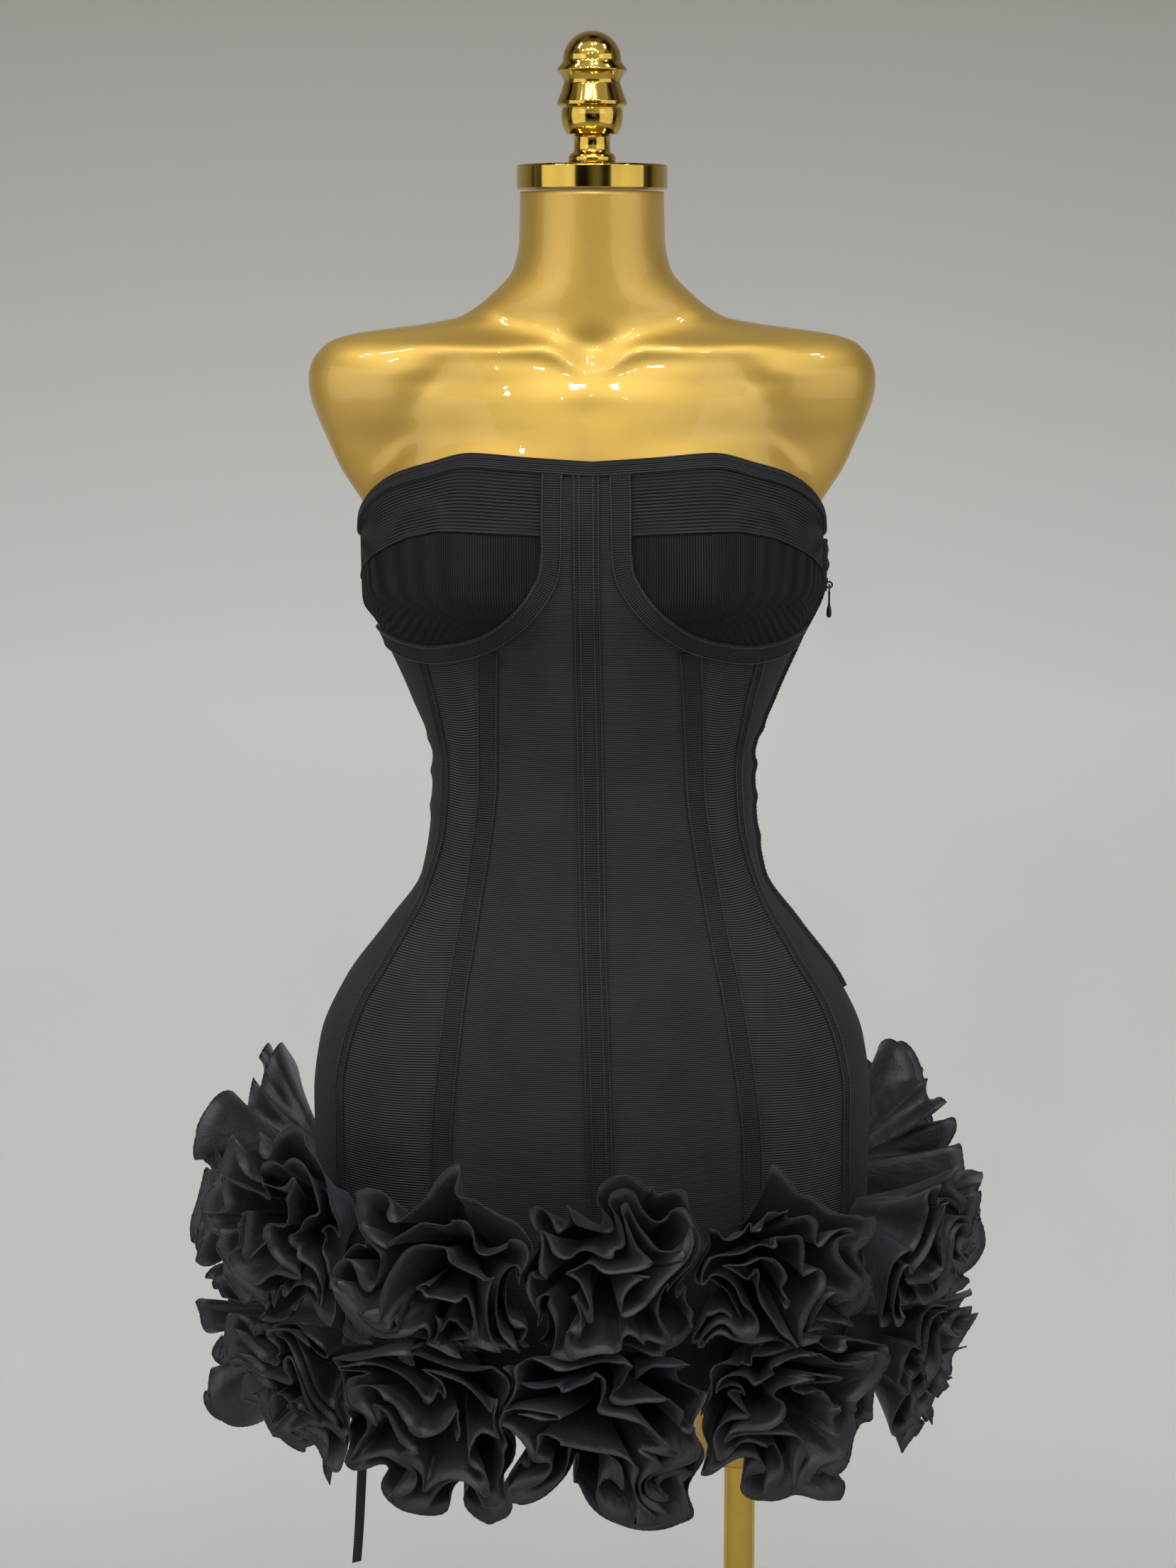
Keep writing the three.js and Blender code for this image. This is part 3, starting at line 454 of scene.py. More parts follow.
plug(paintShader, {"Normal": peelNormal, "Coat Normal": peelNormal})

# Gold-plated, polished steel of the cap, finial, pole and base: mirror bright with faint wipes
plated, platedTree, platedShader, _, wipe = mottled(
    "polished gold plate",
    {"Metallic": 1.0, "Roughness": 0.09, "Base Color": linear("#c0a048")},
    40.0,
    4.0,
    [(0, "#b3933c"), (1, "#cdae54")],
)
wipeRough = addNode(platedTree, "MapRange", {"Value": wipe, "To Min": 0.05, "To Max": 0.15})
plug(platedShader, {"Roughness": wipeRough.outputs["Result"]})

# Black lacquered zinc of the zip slider and its pull, rubbed a little at the edges
zipBlack = mottled(
    "black lacquered zinc",
    {"Metallic": 0.6, "Roughness": 0.3, "Base Color": linear("#121213")},
    260.0,
    2.0,
    [(0, "#0d0d0e"), (1, "#222224")],
)[0]
print("materials ready")

# Display form

form = {"foot": 618, "top": 1425, "clearance": 0.5, "around": 168, "up": 200}


# Collarbones, the notch between them, the hollows beside them and the crease at each shoulder
def boneRise(x, z, front):
    side = np.abs(x)
    ridge = 1305 + 18 * smooth(side, -6, 36) + 2 * smooth(side, 60, 120)
    bone = 3.6 * np.exp(-(((z - ridge) / 5.5) ** 2)) * smooth(side, 2, 20)
    bone = bone * (1 - smooth(side, 104, 134))
    notch = -5.5 * np.exp(-((x / 15) ** 2) - ((z - 1322) / 10) ** 2)
    above = -4.5 * np.exp(-(((side - 60) / 30) ** 2) - ((z - 1341) / 9) ** 2)
    below = -3.5 * np.exp(-(((side - 96) / 26) ** 2) - ((z - 1302) / 14) ** 2)
    armLine = 109 + 0.55 * (1296 - z)
    crease = -3.2 * np.exp(-(((side - armLine) / 12) ** 2)) * smooth(z, 1236, 1262)
    crease = crease * (1 - smooth(z, 1300, 1322))
    sternum = -2.6 * np.exp(-((x / 13) ** 2)) * smooth(z, 1200, 1225)
    sternum = sternum * (1 - smooth(z, 1288, 1312))
    collar = 1.6 * np.exp(-((x / 26) ** 2) - ((z - 1293) / 8) ** 2)
    return front * (bone + notch + above + below + crease + sternum + collar)


def formPoint(angle, z):
    inside = dressSizes["cloth"] + form["clearance"]
    base = figurePoint(angle, z) - figureFrame(angle, z)[2] * inside
    cosine, sine = np.cos(angle), np.sin(angle)
    above = z > shoulderRows[0, 0]
    share = np.exp(-((cosine / read(shoulderRows, 3, z)) ** 4))
    out = np.where(above, read(shoulderRows, 1, z) * share, 0)
    deepen = np.where(above, read(shoulderRows, 2, z) * np.sin(2 * angle) ** 2, 0)
    base[..., 0] += np.sign(sine) * out * np.minimum(1, np.abs(sine) * 1.3)
    base[..., 1] -= np.sign(cosine) * deepen
    front = smooth(cosine, 0.05, 0.45)
    base[..., 1] -= boneRise(base[..., 0], z, front)
    base[..., 2] = z
    return base


# Rings crowd together where the shoulders turn in
formHeights = np.interp(
    np.linspace(0, 1, form["up"] + 1),
    [0, 0.12, 0.45, 0.62, 0.86, 0.94, 1],
    [form["foot"], 760, 1130, 1240, 1348, 1380, form["top"]],
)


def formSurface(u, v):
    z = np.interp(v, np.linspace(0, 1, form["up"] + 1), formHeights)
    return formPoint(tau * u, z)


formMesh = bmesh.new()
drape(formMesh, form["around"], form["up"], formSurface, closed=True)
for ring in (form["foot"], form["top"]):
    edges = [e for e in formMesh.edges if e.is_boundary and abs(e.verts[0].co.z - ring * mm) < 1e-5]
    bmesh.ops.holes_fill(formMesh, edges=edges, sides=0)
bmesh.ops.recalc_face_normals(formMesh, faces=formMesh.faces)
formPiece = newPiece("formBody", formMesh, goldPaint)
formSmooth = formPiece.modifiers.new("smooth", "SMOOTH")
formSmooth.factor = 0.5
formSmooth.iterations = 3
standFor(formPiece, "display_form")
print("form made")


# Spins a profile of radius and height round an upright axis at x, from the height z
def spin(bm, profile, segments, x, z):
    verts = [bm.verts.new((r * mm, 0, h * mm)) for r, h in profile]
    edges = [bm.edges.new(pair) for pair in zip(verts, verts[1:])]
    turn = {"cent": (0, 0, 0), "axis": (0, 0, 1), "angle": tau, "steps": segments}
    bmesh.ops.spin(bm, geom=verts + edges, use_merge=True, **turn)
    bmesh.ops.remove_doubles(bm, verts=bm.verts, dist=1e-6)
    bmesh.ops.recalc_face_normals(bm, faces=bm.faces)
    bmesh.ops.translate(bm, verts=bm.verts, vec=(x * mm, 0, z * mm))


def spunPiece(name, profile, segments, x, z, node, material, slotName):
    bm = bmesh.new()
    spin(bm, profile, segments, x, z)
    piece = newPiece(name, bm, material)
    creased = piece.modifiers.new("edges", "BEVEL")
    creased.width = 0.35 * mm
    creased.segments = 2
    creased.limit_method = "ANGLE"
    creased.angle_limit = math.radians(34)
    creased.harden_normals = True
    standFor(piece, node)


# Smooth arc of points between profile corners
def arcPoints(centre, radius, start, end, count):
    turns = np.radians(np.linspace(start, end, count))
    return [(centre[0] + radius * math.cos(t), centre[1] + radius * math.sin(t)) for t in turns]


stand = {"poleX": 105, "poleFoot": 9.3, "poleLength": 579.7, "poleRadius": 11}
socket = {"foot": 545, "top": 617.7, "bore": 11.3, "boreTop": 44.3, "radius": 35, "edge": 6}
cap = {"foot": 1425.3, "height": 16.5, "radius": 50.2, "finialGap": 0.3}
base = {"radius": 185, "height": 9, "edge": 2.5}
capFlat, capTop = cap["radius"] - 1, cap["height"]
capProfile = [(0, 0), (capFlat, 0), (cap["radius"], 1), (cap["radius"], capTop - 1.2)]
capProfile += [(capFlat, capTop), (0, capTop)]
finialProfile = (
    [(0, 0), (14.4, 0), (15.6, 1.6), (15.8, 4.4), (14.8, 6.4), (12.8, 7.6), (12.1, 9), (12.0, 17.6)]
    + [(12.6, 18.6), (15.4, 19.6)]
    + arcPoints((0, 31.5), 20.5, -36, 14, 14)
    + [(21.2, 37.2), (23.0, 38.4), (23.3, 39.8), (22.9, 41.2), (20.6, 47), (19.3, 51.2), (18.7, 52.6)]
    + [(18.7, 54), (19.5, 56), (21.6, 59.2), (23.2, 60.9), (22.9, 62.4), (20.2, 65.4), (19.6, 66.6)]
    + arcPoints((0, 67.2), 19.4, 2, 89.9, 16)
    + [(0, 86.6)]
)
socketFlat, socketHigh = socket["radius"] - socket["edge"], socket["top"] - socket["foot"]
socketProfile = [(socket["bore"], 0), (socketFlat, 0)]
socketProfile += arcPoints((socketFlat, socket["edge"]), socket["edge"], -90, 0, 8)[1:]
socketProfile += [(socket["radius"], socketHigh), (0, socketHigh), (0, socket["boreTop"])]
socketProfile += [(socket["bore"], socket["boreTop"]), (socket["bore"], 0)]
poleProfile = [(0, 0), (stand["poleRadius"], 0), (stand["poleRadius"], stand["poleLength"])]
poleProfile += [(0, stand["poleLength"])]
baseFlat, baseSide = base["radius"] - base["edge"], base["height"] - base["edge"]
baseProfile = [(0, 0), (baseFlat, 0), (base["radius"], base["edge"]), (base["radius"], baseSide)]
baseProfile += [(baseFlat, base["height"]), (0, base["height"])]
poleX = stand["poleX"]
finialFoot = cap["foot"] + cap["height"] + cap["finialGap"]
for pieceSettings in (
    ("neckCap", capProfile, 128, 0, cap["foot"], "neck_cap", plated, "gold_metal"),
    ("finialTurned", finialProfile, 96, 0, finialFoot, "finial", plated, "gold_metal"),
    ("poleSocket", socketProfile, 96, poleX, socket["foot"], "pole_socket", goldPaint, "gold_paint"),
    ("standPole", poleProfile, 64, poleX, stand["poleFoot"], "pole", plated, "gold_metal"),
    ("basePlate", baseProfile, 160, 0, 0, "base_plate", plated, "gold_metal"),
):
    spunPiece(*pieceSettings)
print("stand made")

# Dress panels


# The flat cut of a laid piece, in metres: its rows and columns are measured without their ribs,
# and the stretch that the worn knit has along both is taken out.
def cutOf(place, stretch=1.06):
    line = np.linspace(0, 1, 41)
    u, v = (axis.ravel() for axis in np.meshgrid(line, line, indexing="ij"))
    grid = place(u, v).reshape(41, 41, 3) * mm
    across, up = np.diff(grid, axis=0), np.diff(grid, axis=1)
    width = np.linalg.norm(across, axis=2).sum(axis=0).max() / stretch
    length = np.linalg.norm(up, axis=2).sum(axis=1).max() / stretch
    area = np.linalg.norm(np.cross(across[:, :-1], up[:-1]), axis=2).sum() / stretch**2
    return max(width, 0.0101), max(length, 0.0101), area


# Prints a piece of cloth's flat cut, rounded, with its area kept between 0.31 of width times length and
# the full width times length
def asSheet(piece, cut):
    width, length, area = (round(float(value), 5) for value in cut)
    area = min(max(area, 0.31 * width * length), width * length)
    print("cut", piece.name, width, length, area)


def mirrored(side):
    return -1 if side == "right" else 1


# The knit's creases differ from side to side, so a right-hand point is found on its own side.
def worn(angle, z, out, side):
    angle, z = np.broadcast_arrays(np.asarray(angle, float), np.asarray(z, float))
    return skin(turned(angle * mirrored(side), z), z, out)


def seamOf(rows):
    return lambda z: angleAt(read(rows, 1, z), z)


def seamAt(angle):
    return lambda z: np.full_like(z, angle)


princess, outerLine = seamOf(princessRows), seamOf(outerRows)
frontSeam, sideSeam, backSeam = seamAt(0), seamAt(math.pi / 2), seamAt(math.pi)
cupFoot = 1133


def centreEdge(z):
    cupEdge = underCupRows[:6][::-1][:, ::-1]
    high = np.radians(np.where(z > 1190, dressSizes["cupInner"], read(cupEdge, 1, z)))
    return np.where(z <= cupFoot, princess(np.minimum(z, cupFoot)), high)


def topEdge(angle):
    return byAngle(necklineRows, angle) - dressSizes["binding"] + dressSizes["lap"]


def underEdge(angle):
    return byAngle(underCupRows, angle) - 0.3

# Makes a laid piece of cloth, named for the node that it stands for
def clothOf(bm, name, material, wall=0, offset=-1):
    piece = newPiece("cloth." + name, bm, material)
    if wall:
        thicken(piece, wall, offset)
    return standFor(piece, name)


# name: seam on the inner side, seam on the outer side, top edge, columns, rows, material
bodyPanels = {
    "front_centre_panel": [frontSeam, centreEdge, None, 28, 110, bodyKnit],
    "front_side_panel": [princess, outerLine, underEdge, 24, 110, sideKnit],
    "side_panel": [outerLine, sideSeam, underEdge, 20, 110, bodyKnit],
    "back_panel": [sideSeam, backSeam, topEdge, 32, 90, bodyKnit],
}
firstHeight = 1118.0
for panel, (inner, outer, top, columns, rows, material) in bodyPanels.items():
    for side in ("left", "right"):

        # The top edge depends on the angle and the angle on the height, so both are refined.
        def place(u, v, inner=inner, outer=outer, top=top, side=side):
            z = np.full_like(u, firstHeight)
            for _ in range(6):
                angle = inner(z) + (outer(z) - inner(z)) * u
                ceiling = topEdge(np.zeros_like(u) + 0.05) if top is None else top(angle)
                z = dressSizes["hem"] + (ceiling - dressSizes["hem"]) * v
            a = shift(inner(z), z, dressSizes["gap"])
            b = shift(outer(z), z, -dressSizes["gap"])
            return worn(a + (b - a) * u, z, 0, side)

        bm = bmesh.new()
        drape(bm, columns, rows, place, flip=side == "right")
        piece = clothOf(bm, f"{panel}_{side}", material, dressSizes["cloth"])
        asSheet(piece, cutOf(place))
print("panels made")

# Cups: the ribs of the knit are modelled, because they show. Each ends just short of the side seam.
cupRibs = {"bandPitch": 2.3, "cupPitch": 2.1, "bandDepth": 0.3, "cupDepth": 0.32, "short": 0.0015}
for side in ("left", "right"):

    def lowerPlace(u, v, side=side):
        angle = np.radians(8.5 + (90 - 8.5) * u**1.25) - cupRibs["short"] * (u > 0.999)
        foot = byAngle(underCupRows, angle) + 0.3
        z = foot + (byAngle(cupSeamRows, angle) - 0.15 - foot) * v
        arc = np.abs(figurePoint(angle, z)[..., 0]) + 60 * (1 - np.cos(angle))
        ribs = cupRibs["cupDepth"] * (np.cos(tau * arc / cupRibs["cupPitch"]) - 1)
        return worn(angle, z, ribs, side)

    bm = bmesh.new()
    drape(bm, 300, 26, lowerPlace, flip=side == "right")
    piece = clothOf(bm, "lower_cup_" + side, shadedCupKnit, dressSizes["cloth"])
    asSheet(piece, cutOf(lowerPlace))

    def bandPlace(u, v, side=side):
        inner = dressSizes["cupInner"]
        angle = np.radians(inner + (90 - inner) * u) - cupRibs["short"] * (u > 0.999)
        # The band's folded edge laps over the lower cup
        foot = byAngle(cupSeamRows, angle) - 1.0
        ceiling = topEdge(angle)
        z = foot + (ceiling - foot) * v
        # The ribs run along the top edge, so they end against the cup's seam.
        ribs = cupRibs["bandDepth"] * (np.cos(tau * (ceiling - z) / cupRibs["bandPitch"]) - 1)
        roll = 0.9 * np.exp(-(((z - foot) / 2.2) ** 2))
        return worn(angle, z, ribs + roll, side)

    bm = bmesh.new()
    drape(bm, 56, 110, bandPlace, flip=side == "right")
    piece = clothOf(bm, "upper_cup_band_" + side, shadedBandKnit, dressSizes["cloth"])
    asSheet(piece, cutOf(bandPlace))
print("cups made")

# Tapes: each has raised ribs along it and a row of stitches beside both edges
tapes = {"rib": 2.2, "ribDepth": 0.34, "stitch": 3.0, "threadRadius": 0.5, "from": 0.3, "wall": 1.2}


def ribbed(across, width):
    inner = np.clip((width / 2 - np.abs(across)) / 1.2, 0, 1)
    return tapes["ribDepth"] * (np.cos(tau * across / tapes["rib"]) - 1) * inner - 0.35 * (1 - inner)


# A tape is laid by a function of the place along it (0 to 1) and the distance across it.
def layTape(name, route, width, alongCells, stitches, lift=0.0):
    cells = int(round(width / tapes["rib"] * 4)) + 2
    rise = tapes["from"] + tapes["wall"] + lift

    # The first and the last column of cells are the tape's own edges, down to the panel.
    def place(u, v):
        share = np.clip((u * cells - 1) / (cells - 2), 0, 1)
        across = (share - 0.5) * width
        edge = np.abs(u - 0.5) > 0.5 - 0.5 / cells
        return route(v, across, np.where(edge, 0.02, rise + ribbed(across, width)))

    bm = bmesh.new()
    drape(bm, cells, alongCells, place)
    ends = np.linspace(0, 1, alongCells * 2)
    sewing = bmesh.new()
    for offset in stitches:
        line = route(ends, np.full_like(ends, offset), np.full_like(ends, rise - 0.1))
        beadLine(sewing, line, tapes["threadRadius"], tapes["stitch"], 0.35, 4)
    piece = clothOf(bm, name, tapeKnit)
    newPiece("stitches." + name, sewing, thread)
    asSheet(piece, cutOf(place))


def seamRoute(seam, low, high, side):
    def route(t, across, out):
        z = low + (high - low) * t
        angle = shift(seam(z), z, across)
        return worn(angle, z, out, side)

    return route


hem = dressSizes["hem"]
neckStop = necklineRows[0, 1] - dressSizes["binding"] + dressSizes["lap"]
centreRoute = seamRoute(frontSeam, hem, neckStop, "left")
layTape("centre_channel", centreRoute, 18, 200, [-8, -4.6, 4.6, 8])
for side in ("left", "right"):
    princessRoute = seamRoute(princess, hem, 1126, side)
    layTape("princess_channel_" + side, princessRoute, 15, 170, [-6.6, 6.6])
    outerRoute = seamRoute(outerLine, hem, 1121, side)
    layTape("outer_channel_" + side, outerRoute, 8, 170, [-3.2, 3.2])

# Cup tape: its middle line runs down beside the centre and round under the cup. The line is
# drawn flat, at a mean radius of the chest, in angle and height.
chestRadius = 120
cupRun = [[dressSizes["cupInner"], z] for z in (1242.3, 1222, 1205)]
cupRun = np.array(cupRun + underCupRows[:-1].tolist() + [[89.9, 1130]])
cupRun = cupRun * [math.radians(1) * chestRadius, 1]


# A Catmull-Rom curve through the rows of points
def through(points, t):
    points = np.asarray(points, float)
    last = len(points) - 1
    x = np.clip(t, 0, 1) * last
    i = np.clip(x.astype(int), 0, last - 1)
    f = (x - i)[:, None]
    p0, p1 = points[np.maximum(i - 1, 0)], points[i]
    p2, p3 = points[i + 1], points[np.minimum(i + 2, last)]
    a, b = (p2 - p0) * 0.5, (p3 - p1) * 0.5
    from1, from2 = 2 * f**3 - 3 * f**2 + 1, 3 * f**2 - 2 * f**3
    return p1 * from1 + p2 * from2 + a * (f**3 - 2 * f**2 + f) + b * (f**3 - f**2)


cupSteps = np.linspace(0, 1, 400)
cupDense = through(cupRun, cupSteps)
cupLengths = np.concatenate([[0], np.cumsum(np.linalg.norm(np.diff(cupDense, axis=0), axis=1))])
cupLengths /= cupLengths[-1]


def cupRoute(side):
    def route(t, across, out):
        at = np.interp(t, cupLengths, cupSteps)
        spot = through(cupRun, at)
        ahead = through(cupRun, np.minimum(at + 0.004, 1))
        behind = through(cupRun, np.maximum(at - 0.004, 0))
        heading = ahead - behind
        angle, z = spot[:, 0] / chestRadius, spot[:, 1]
        level, climb, normal, arc = figureFrame(angle, z)
        along = level * (heading[:, :1] / chestRadius * arc[:, None]) + climb * heading[:, 1:]
        aside = np.cross(normal, along)
        aside *= (-across / np.linalg.norm(aside, axis=1))[:, None]
        swing = np.einsum("ij,ij->i", aside - climb * aside[:, 2:], level) / arc
        return worn(angle + swing, z + aside[:, 2], out, side)

    return route


for side in ("left", "right"):
    layTape("cup_tape_" + side, cupRoute(side), 14, 200, [-6.1, 6.1], lift=0.5)


# Neckline binding: three raised ribs over a folded edge, right round the top. v goes up the
# outside to the first place, over the folded edge to the second and down the inside.
bindingSizes = {"columns": 360, "rows": 22, "rib": 2.5, "folds": (0.62, 0.7)}


def fromFront(angle):
    return (angle + math.pi) % tau - math.pi


def bindingPlace(u, v):
    signed = fromFront(tau * u)
    top = byAngle(necklineRows, signed)
    width = dressSizes["binding"]
    first, second = bindingSizes["folds"]
    up = np.clip(v / first, 0, 1)
    down = np.clip((v - second) / (1 - second), 0, 1)
    z = top - width * (1 - up) - width * down
    ribs = 0.35 * (np.cos(tau * (z - top) / bindingSizes["rib"]) - 1) * (v < 0.6)
    outside = 2.1 + ribs - 0.9 * smooth(v, 0.5, first)
    over = smooth(v, first, second)
    out = np.where(v <= first, outside, outside * (1 - over) - 1.55 * over)
    out = np.where(v < 0.02, 0.2, out)
    z = z + 0.4 * np.exp(-(((v - 0.66) / 0.03) ** 2))
    return skin(signed, z, out)


bm = bmesh.new()
drape(bm, bindingSizes["columns"], bindingSizes["rows"], bindingPlace, closed=True)
sewnAt = fromFront(np.linspace(0, tau, 500))
sewnHeight = byAngle(necklineRows, sewnAt) - dressSizes["binding"] + 1.2
sewing = bmesh.new()
beadLine(sewing, skin(sewnAt, sewnHeight, 1.9), 0.42, tapes["stitch"], 0.35, 4)
newPiece("stitches.neckline_binding", sewing, thread)
binding = clothOf(bm, "neckline_binding", tapeKnit)
asSheet(binding, cutOf(bindingPlace))
print("tapes made")

# Zip: closed coil on its tape, with the CAD slider and pull in black lacquer
zipSizes = {"low": 884, "high": 1193.5, "width": 7, "tooth": 3.2, "toothRadius": 0.75}
zipRoute = seamRoute(sideSeam, zipSizes["low"], zipSizes["high"], "left")
layTape("zip_tape", zipRoute, zipSizes["width"], 160, [-2.9, 2.9], lift=1.0)
teeth = bmesh.new()
toothHeights = np.arange(zipSizes["low"] + 4, zipSizes["high"] - 3, zipSizes["tooth"])
for n, z in enumerate(toothHeights):
    swing = 0.7 if n % 2 else -0.7
    zs = np.array([z])
    centre = worn(shift(sideSeam(zs), zs, swing), zs, 2.7, "left")[0] * mm
    radius = zipSizes["toothRadius"] * mm
    made = bmesh.ops.create_uvsphere(teeth, u_segments=8, v_segments=5, radius=radius)
    bmesh.ops.scale(teeth, verts=made["verts"], vec=(0.6, 1.5, 0.9))
    bmesh.ops.translate(teeth, verts=made["verts"], vec=Vector(centre))
newPiece("zip.coil", teeth, thread)
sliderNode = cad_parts["zip_slider"]
sliderNode.data.materials.clear()
sliderNode.data.materials.append(zipBlack)

# Cast pull: a ring through the slider's bridge, a thin stem and a fat round end
pull = {"x": 160.85, "z": 1162.504, "wire": 0.5, "ringHalf": 1.85, "ringLength": 4.7}
pullMesh = bmesh.new()
half, deep = pull["ringHalf"], pull["ringLength"]
ring = [(0, -half), (0.2, -half * 0.7), (0.2, half * 0.7), (0, half), (-2.4, half), (-deep, 0.7)]
ring = np.array([(0, y, z) for z, y in ring + [(-deep, -0.7), (-2.4, -half), (0, -half)]])
beadLine(pullMesh, ring, pull["wire"], 0, 0, 8)
stemProfile = [(0, -4.2), (0.65, -4.4), (0.8, -5.4), (0.7, -7), (0.68, -12.5), (0.95, -14.2)]
stemProfile += [(1.5, -16), (1.78, -17.8), (1.8, -20), (1.5, -21.6), (0.9, -22.3), (0, -22.5)]
spin(pullMesh, stemProfile, 16, pull["x"], pull["z"])
pullPiece = newPiece("zip.pull", pullMesh, zipBlack, "zip_pull")
standFor(pullPiece, "zip_pull")
print("zip made")

# Ribbon tail that hangs free from the hem, with a slanted end
ribbon = {"angle": 58, "width": 8.2, "length": 130, "sway": -13, "wall": 1.0}


def ribbonPlace(u, v):
    angle = -math.radians(ribbon["angle"])
    level, climb, normal, arc = figureFrame(angle, dressSizes["hem"])
    start = figurePoint(angle, dressSizes["hem"]) - normal * 0.8
    start[2] = dressSizes["hem"] - 0.3
    out = np.array([normal[0], normal[1], 0])
    out /= np.linalg.norm(out)
    edge = u - 0.5
    aside = edge * ribbon["width"] + ribbon["sway"] * v**1.3 + 1.2 * np.sin(3 * v)
    cupped = 0.5 * np.cos(math.pi * edge) + 1.6 * np.sin(4.2 * v)
    fall = ribbon["length"] * (1 - 0.03 * edge * v) * v
    points = start + level * aside[:, None] + out * cupped[:, None]
    points[:, 2] -= fall
    return points


bm = bmesh.new()
drape(bm, 8, 60, ribbonPlace)
ribbonPiece = clothOf(bm, "hem_ribbon", tapeKnit, ribbon["wall"], 0)
asSheet(ribbonPiece, cutOf(ribbonPlace, 1))

# Rosettes: a spiral-cut strip coiled on its short edge, so that its free edge is full of folds

rosette = {
    "turns": 3.1,
    "core": 3,
    "base": 17,
    "rimCore": 6,
    "spread": 0.7,
    "bend": 25,
    "columns": 420,
    "rows": 10,
    "wall": 0.8,
    "cut": 0.37,
    "swirls": 16,
    "swirlReach": 0.84,
    "swirlGap": 0.27,
    "corner": 0.14,
    "pleat": 2.4,
    "lift": 2.6,
    "opening": 1.3,
}
# What differs between the two rows: the strip's width, the reach of its free edge and its sag
rowSizes = {
    "rosette_upper": {"strip": 81, "edge": 74, "wide": 1, "sag": 5},
    "rosette_lower": {"strip": 78, "edge": 70, "wide": 1.14, "sag": 3},
}
rowGap = {"height": 692, "fall": 0.2, "softness": 17, "clearance": 0.7, "waves": 5}
# Along the skirt, height, droop, turn, lift off the skirt, and size
upperRow = [
    [12, 731, 2, 200, 1.9, 1],
    [101, 724, 4, 60, 1.7, 0.98],
    [205, 728, 12, 310, 0.2, 1],
    [305, 738, -6, 120, -1.1, 1.08],
    [405, 733, 3, 20, -0.7, 1],
    [505, 737, 0, 250, 0.2, 1],
    [605, 731, 5, 150, 0.0, 1],
    [705, 738, -5, 330, 0.2, 1.08],
    [802, 737, -2, 90, 1.7, 1],
    [903, 725, 4, 180, 0.7, 1.08],
]
lowerRow = [
    [2, 641, 6, 30, 0.6, 1.12],
    [110, 642, 5, 280, 0.6, 1.02],
    [206, 640, 12, 140, 0.6, 0.9],
    [298, 639, 8, 220, 0.6, 1.08],
    [393, 637, 9, 70, 0.6, 1],
    [489, 640, 6, 10, 0.6, 1],
    [585, 638, 8, 300, 0.6, 1],
    [681, 639, 7, 110, 0.6, 1.08],
    [775, 639, 12, 240, 0.6, 0.9],
    [860, 641, 6, 350, 0.6, 1.12],
]
petals = {
    row: petalCloth("satin-backed crepe, " + row, size["strip"]) for row, size in rowSizes.items()
}
random = np.random.default_rng(11)


def skirtAngles(z):
    angles = np.linspace(0, tau, 721)
    ring = figurePoint(angles, np.full_like(angles, z))
    arc = np.concatenate([[0], np.cumsum(np.linalg.norm(np.diff(ring, axis=0), axis=1))])
    return arc, angles


def seat(spot, arc, angles, size):
    angle = np.interp(spot[0], arc, angles)
    level, climb, normal, _ = figureFrame(angle, spot[1])
    return {
        "foot": figurePoint(angle, spot[1]) + normal * spot[4],
        "level": level,
        "normal": normal,
        "up": np.cross(normal, level),
        "droop": math.radians(spot[2] or 0.01),
        "spin": math.radians(spot[3]),
        "strip": size["strip"] * spot[5],
        "edge": size["edge"] * spot[5],
        "wide": size["wide"],
        "sag": size["sag"],
    }


def press(distance, limit, softness):
    eased = limit - softness + softness * np.tanh((distance - limit + softness) / softness)
    return np.where(distance < limit - softness, distance, eased)


def outwardOf(points):
    x, y, z = points.T
    depth = np.where(y < 0, read(figureRows, 2, z), read(figureRows, 3, z))
    share = np.hypot(x / read(figureRows, 1, z), y / depth)
    return np.hypot(x, y) * (1 - 1 / np.maximum(share, 0.01))


# Neighbours push against each other along a wavy surface, the same one seen from both sides
def pressed(points, spot, neighbours, isUpper):
    for side, other in zip((1, -1), neighbours):
        away = (other["foot"] - spot["foot"]) * [1, 1, 0]
        middle = spot["foot"] + away * spot["edge"] / (spot["edge"] + other["edge"])
        away /= np.linalg.norm(away)
        wavy = rowGap["waves"] * np.sin(points[:, 2] * 0.13 + middle[0] * 0.07 + middle[1] * 0.03)
        distance = (points - middle) @ away + side * wavy
        kept = press(distance, -rowGap["clearance"], rowGap["softness"])
        points = points + (kept - distance)[:, None] * away
    around = np.arctan2(points[:, 0], -points[:, 1])
    waves = rowGap["waves"] * np.sin(around * 17)
    border = rowGap["height"] - rowGap["fall"] * outwardOf(points) + waves
    past = border - points[:, 2] if isUpper else points[:, 2] - border
    change = press(past, -rowGap["clearance"], rowGap["softness"]) - past
    points[:, 2] += -change if isUpper else change
    return points


# A wave with tighter crests than a sine, as a folded edge has
def foldWave(phase):
    return np.arcsin(0.97 * np.sin(phase)) * 2 / math.pi


# A wave with pointed crests and flat troughs, as a petal has corners and straight sides
def cornerWave(phase):
    return 8 * ((phase / tau) % 1 - 0.5) ** 2 - 1


